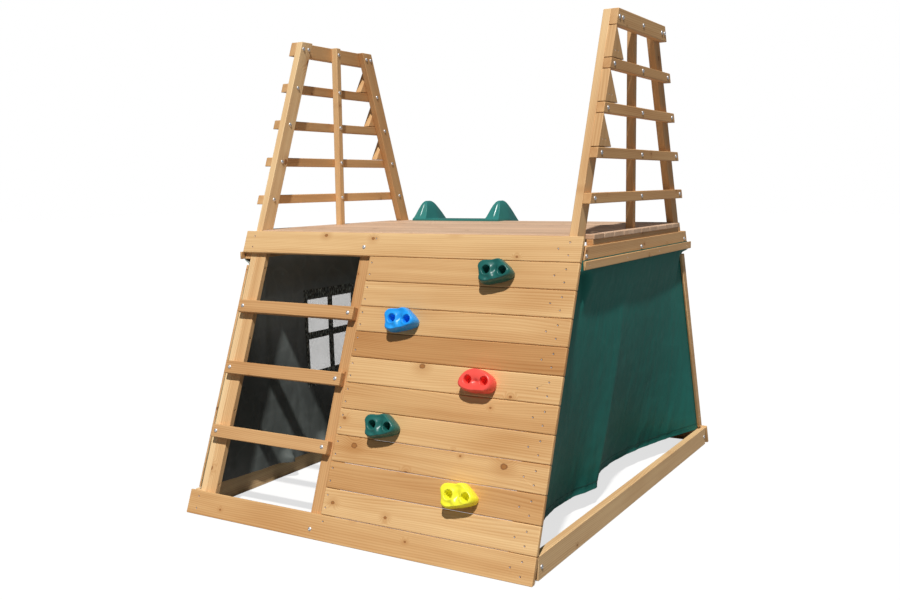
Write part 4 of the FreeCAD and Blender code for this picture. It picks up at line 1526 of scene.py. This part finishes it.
    def stitches(self, name: str, work: BMesh) -> Object:
        """Row of stitches along the hem, set by Geometry Nodes.

        Args:
            name: The piece's name.
            work: The tarp's surface.

        Returns:
            The piece.
        """
        corners = self.columns + 1
        row = list(work.verts)[self.stitch_row * corners:(self.stitch_row + 1) * corners]
        curve = bpy.data.curves.new(name, "CURVE")
        curve.dimensions = "3D"
        line = curve.splines.new("POLY")
        line.points.add(len(row) - 1)
        for point, vert in zip(line.points, row):
            point.co = (*(vert.co + vert.normal * self.stitch_lift), 1.0)
        path = bpy.data.objects.new(name + "_path", curve)
        bpy.context.scene.collection.objects.link(path)
        layout = Layout("stitch_row", "Path", ("Pitch", "Stitch", "Thread"))
        pitch, stitch, thread = layout.sizes
        spread = {"Curve": layout.source, "Length": pitch}
        points = layout.node("GeometryNodeCurveToPoints", {"mode": "LENGTH"}, spread).outputs
        sizes = {"Vertices": 6, "Radius": thread, "Depth": stitch}
        strand = layout.out("GeometryNodeMeshCylinder", None, sizes)
        along = {"Vector": points["Tangent"]}
        aim = layout.out("FunctionNodeAlignRotationToVector", {"axis": "Z"}, along)
        layout.close(points["Points"], strand, aim)
        values = {
            "Pitch": self.stitch_pitch, "Stitch": self.stitch_length, "Thread": self.stitch_thread,
            "Finish": self.paint.tape,
        }
        layout.attach(path, values)
        mesh = Piece.applied(path)
        bpy.data.objects.remove(path)
        return Piece.link(name, mesh)

    def build(self) -> None:
        """Make both tarps, the panes and the tape."""
        for side in ("right", "left"):
            work = self.sheet(side == "left")
            extras = [Piece.settle(self.stitches(side + "_tarp_stitches", work), "tarp_cloth")]
            if side == "left":
                self.divided(work)
                panes = Piece.from_bmesh("tarp_window_panes", self.kept(work, self.in_pane), self.paint.film)
                self.thick(panes, self.film_thickness)
                extras.append(Piece.settle(panes, "window_film", "tarp_window"))
                band = self.kept(work, self.on_tape)
                tape = Piece.from_bmesh("tarp_window_tape", band, self.paint.tape, self.paint.tape_back)
                self.thick(tape, self.tape_thickness, 1)
                extras.append(Piece.settle(tape, "tarp_cloth"))
                cloth = self.kept(work, lambda place: not self.in_pane(place))
                work.free()
                work = cloth
            area = sum(face.calc_area() for face in work.faces)
            made = Piece.from_bmesh(side + "_tarp_cloth", work, self.paint.tarp, self.paint.tarp_back)
            self.thick(made, self.thickness, 1)
            Piece.settle(made, "tarp_cloth", side + "_tarp")
            log.info("%s tarp area %.3f", side, area)


@dataclass
class Slide:
    """The moulded slide with its two rounded shoulders at the deck."""

    paint: Paint
    middle: float = -347.0
    width: float = 450.0
    wall: float = 9.0
    lip: float = 96.0
    ramp: float = 62.0
    run: float = 1500.0
    side: float = 98.0
    entry: float = 1021.0
    exit: float = 100.0
    edge: float = 1462.95
    bed_share: float = 0.69
    ridge_share: float = 0.86
    fullness: float = 2.2
    flare: float = 1.25
    rounding: float = 0.05
    ramp_spread: float = 1.15
    climb_gain: float = 1.08
    climb_drop: float = 0.03
    bead: float = 4.2
    bead_reach: float = 4.4
    bed_steps: int = 20
    side_steps: int = 44
    lip_steps: int = 40
    run_steps: int = 140
    run_bend: float = 1.25
    ease: float = 0.0042
    sharp_angle: float = math.radians(50)
    crease: float = 60.0

    # Where the shoulder's climb starts and ends, and where the bead fades in and out on it.
    CLIMB: ClassVar[tuple[float, float]] = (-0.12, 1.12)
    BEAD_IN: ClassVar[tuple[float, float]] = (0.0, 0.22)
    BEAD_OUT: ClassVar[tuple[float, float]] = (0.97, 0.70)

    # Share of the run, then of the drop, of the side height and of the skirt's fall there.
    STATIONS: ClassVar[tuple[tuple[float, float, float, float], ...]] = (
        (-1.0, 0.0, 0.83, 0.0), (0.006, 0.0, 0.83, 0.0), (0.020, 0.005, 0.83, 0.0),
        (0.045, 0.028, 0.83, 0.0), (0.11, 0.107, 0.83, 0.0), (0.22, 0.240, 0.88, 0.0),
        (0.32, 0.345, 0.93, 0.0), (0.42, 0.430, 0.96, 0.0), (0.52, 0.517, 0.96, 0.0),
        (0.62, 0.635, 0.94, 0.05), (0.72, 0.775, 0.92, 0.16), (0.81, 0.885, 0.88, 0.38),
        (0.89, 0.955, 0.80, 0.66), (0.95, 0.985, 0.70, 0.86), (1.0, 1.0, 0.60, 1.0),
    )

    @staticmethod
    def curve(places: Sequence[float], values: Sequence[float]) -> Callable[[float], float]:
        """Smooth curve through points that rises and falls only where they do.

        Args:
            places: Where the points are, in rising order.
            values: Their heights.

        Returns:
            The height at any place.
        """
        steps = [end - start for start, end in zip(places, places[1:])]
        rises = [(end - start) / step for start, end, step in zip(values, values[1:], steps)]
        slopes = [rises[0]]
        for before, after in zip(rises, rises[1:]):
            slopes.append(2 * before * after / (before + after) if before * after > 0 else 0.0)
        slopes.append(rises[-1])

        def at(place: float) -> float:
            """Height at a place."""
            index = max(i for i in range(len(steps)) if i == 0 or places[i] <= place)
            turn = (place - places[index]) / steps[index]
            rise = (values[index + 1] - values[index]) * turn * turn * (3 - 2 * turn)
            lead, trail = slopes[index] * steps[index], slopes[index + 1] * steps[index]
            return values[index] + rise + turn * (1 - turn) * (lead * (1 - turn) - trail * turn)

        return at

    def soft_lower(self, first: float, second: float) -> float:
        """The lower of two heights, rounded off where they are nearly equal."""
        lead = min(max((1 + (second - first) / self.rounding) / 2, 0.0), 1.0)
        return second + (first - second) * lead - self.rounding * lead * (1 - lead)

    def height(self, share: float, stop: float, drop: float, side: float, fall: float) -> float:
        """Height of the upper face.

        Args:
            share: Share of the half width.
            stop: Millimetres behind the deck's edge.
            drop: Share of the way from the deck down to the exit.
            side: Share of the full side height.
            fall: Share of the way that the outer skirt falls to the ground.

        Returns:
            The height in millimetres.
        """
        bed = self.entry - (self.entry - self.exit) * drop
        if share <= self.bed_share:
            return bed
        inner = share <= self.ridge_share
        foot = self.bed_share if inner else 1.0
        turn = (share - self.ridge_share) / (foot - self.ridge_share)
        arch = max(1 - turn ** self.fullness, 0.0) ** self.flare
        along = (stop + self.lip) / (self.ramp * self.ramp_spread)
        climb = self.climb_gain * blend(*self.CLIMB, along) - self.climb_drop
        rise = max(self.soft_lower(climb, arch), 0.0)
        start = bed if inner else bed + (self.wall - bed) * fall
        aside = (share - self.ridge_share) * self.width / 2
        shown = blend(*self.BEAD_IN, climb) * blend(*self.BEAD_OUT, climb)
        bead = self.bead * bell(aside, self.bead_reach) * shown
        return start + (bed + self.side * side - start) * rise + bead

    def build(self) -> None:
        """Make the chute."""
        places = [row[0] * (self.lip if row[0] < 0 else self.run) for row in self.STATIONS]
        curves = [self.curve(places, column) for column in list(zip(*self.STATIONS))[1:]]
        stops = [-self.lip + self.lip * step / self.lip_steps for step in range(self.lip_steps)]
        stops += [self.run * (step / self.run_steps) ** self.run_bend for step in range(self.run_steps + 1)]
        half = [self.bed_share * step / self.bed_steps for step in range(self.bed_steps)]
        for step in range(self.side_steps + 1):
            half.append(self.bed_share + (1 - self.bed_share) * step / self.side_steps)
        shares = [-share for share in reversed(half[1:])] + half
        work = bmesh.new()
        upper, lower = [], []
        for stop in stops:
            sizes = [curve(stop) for curve in curves]
            line = []
            for share in shares:
                height = self.height(abs(share), stop, *sizes)
                line.append(toe(self.middle + share * self.width / 2, self.edge + stop, height))
            upper.append([work.verts.new(corner) for corner in line])
            lower.append([work.verts.new(corner - Vector((0, 0, self.wall * MM))) for corner in line])
        for sheet in (upper, lower):
            for near, far in zip(sheet, sheet[1:]):
                skin(work, near, far)
        for end in (0, -1):
            skin(work, upper[end], lower[end])
            skin(work, [row[end] for row in upper], [row[end] for row in lower])
        bmesh.ops.recalc_face_normals(work, faces=work.faces)
        sharp = [edge for edge in work.edges if edge.calc_face_angle() > self.sharp_angle]
        round_off(work, sharp, self.ease)
        made = Piece.from_bmesh("slide_chute_moulded", work, self.paint.slide)
        Piece.smooth(made, self.crease)
        Piece.settle(made, "slide_plastic", "slide_chute")


@dataclass
class Studio:
    """Pale floor, soft light and the camera at the photograph's angle."""

    lens: float = 39.056
    sensor: float = 36.0
    pitch: float = math.radians(6.782)
    yaw: float = math.radians(-30.585)
    roll: float = math.radians(-0.7776)
    sun: float = 3.60
    sun_spread: float = math.radians(2)
    fill: float = 0.13
    floor_size: float = 30.0
    floor_drop: float = 0.0005
    floor_glow: float = 0.72

    EYE: ClassVar[Vector] = toe(1900, -2481, 1180)
    TO_SUN: ClassVar[Vector] = Vector((0.21, -0.475, 0.855))
    SUN_COLOUR: ClassVar[tuple[float, float, float]] = (1.0, 0.975, 0.94)
    FILL_COLOUR: ClassVar[Colour] = (0.93, 0.97, 1.0, 1.0)
    FLOOR_COLOUR: ClassVar[Colour] = (0.29, 0.29, 0.29, 1.0)

    def camera(self) -> None:
        """Set the camera."""
        data = bpy.data.cameras.new("camera")
        data.lens = self.lens
        data.sensor_width = self.sensor
        data.sensor_fit = "HORIZONTAL"
        level = Vector((math.sin(self.yaw), math.cos(self.yaw), 0))
        ahead = level * math.cos(self.pitch) - Vector((0, 0, math.sin(self.pitch)))
        right = Vector((math.cos(self.yaw), -math.sin(self.yaw), 0))
        up = right.cross(ahead)
        across = right * math.cos(self.roll) + up * math.sin(self.roll)
        upright = -right * math.sin(self.roll) + up * math.cos(self.roll)
        turn = Matrix((across, upright, -ahead)).transposed().to_4x4()
        made = bpy.data.objects.new("camera", data)
        made.matrix_world = Matrix.Translation(self.EYE) @ turn
        bpy.context.scene.collection.objects.link(made)
        bpy.context.scene.camera = made

    def light(self) -> None:
        """Set a soft key light and an even fill."""
        data = bpy.data.lights.new("key", "SUN")
        data.energy = self.sun
        data.angle = self.sun_spread
        data.color = self.SUN_COLOUR
        made = bpy.data.objects.new("key", data)
        made.rotation_euler = self.TO_SUN.to_track_quat("Z", "Y").to_euler()
        bpy.context.scene.collection.objects.link(made)
        world = bpy.data.worlds.new("studio")
        bpy.context.scene.world = world
        world.use_nodes = True
        graph = Graph(world.node_tree)
        path = graph.node("ShaderNodeLightPath").outputs
        seen = graph.math("MAXIMUM", path["Is Camera Ray"], path["Is Transmission Ray"])
        soft = graph.out("ShaderNodeBackground", None, {"Color": self.FILL_COLOUR, "Strength": self.fill})
        white = graph.out("ShaderNodeBackground", None, {"Color": WHITE, "Strength": 1.0})
        shown = graph.out("ShaderNodeMixShader", None, {0: seen, 1: soft, 2: white})
        graph.node("ShaderNodeOutputWorld", None, {"Surface": shown})

    def floor(self) -> None:
        """Lay a pale floor that keeps a faint shadow."""
        work = bmesh.new()
        bmesh.ops.create_grid(work, x_segments=1, y_segments=1, size=self.floor_size)
        surface = Surface("floor_pale")
        seen = surface.out("ShaderNodeLightPath", None, None, "Is Camera Ray")
        pale = surface.mix(seen, self.FLOOR_COLOUR, WHITE)
        shade = surface.out("ShaderNodeBsdfDiffuse", None, {"Color": pale})
        glow = surface.out("ShaderNodeEmission", None, {"Color": WHITE, "Strength": 1.0})
        shown = surface.out("ShaderNodeMixShader", None, {0: seen * self.floor_glow, 1: shade, 2: glow})
        surface.node("ShaderNodeOutputMaterial", None, {"Surface": shown})
        made = Piece.from_bmesh("floor", work, surface.material)
        made.location.z = -self.floor_drop

    def build(self) -> None:
        """Set up the studio."""
        bpy.context.scene.view_settings.view_transform = "Standard"
        self.camera()
        self.light()
        self.floor()


def main() -> None:
    """Build the dressed climbing frame."""
    logging.basicConfig(level=logging.INFO, format="%(name)s %(message)s")
    Studio().build()
    paint = Paint()
    Timbers().build()
    Fasteners(paint).build()
    Holds(paint).build()
    Tarps(paint).build()
    Slide(paint).build()


if __name__ == "__main__":
    main()
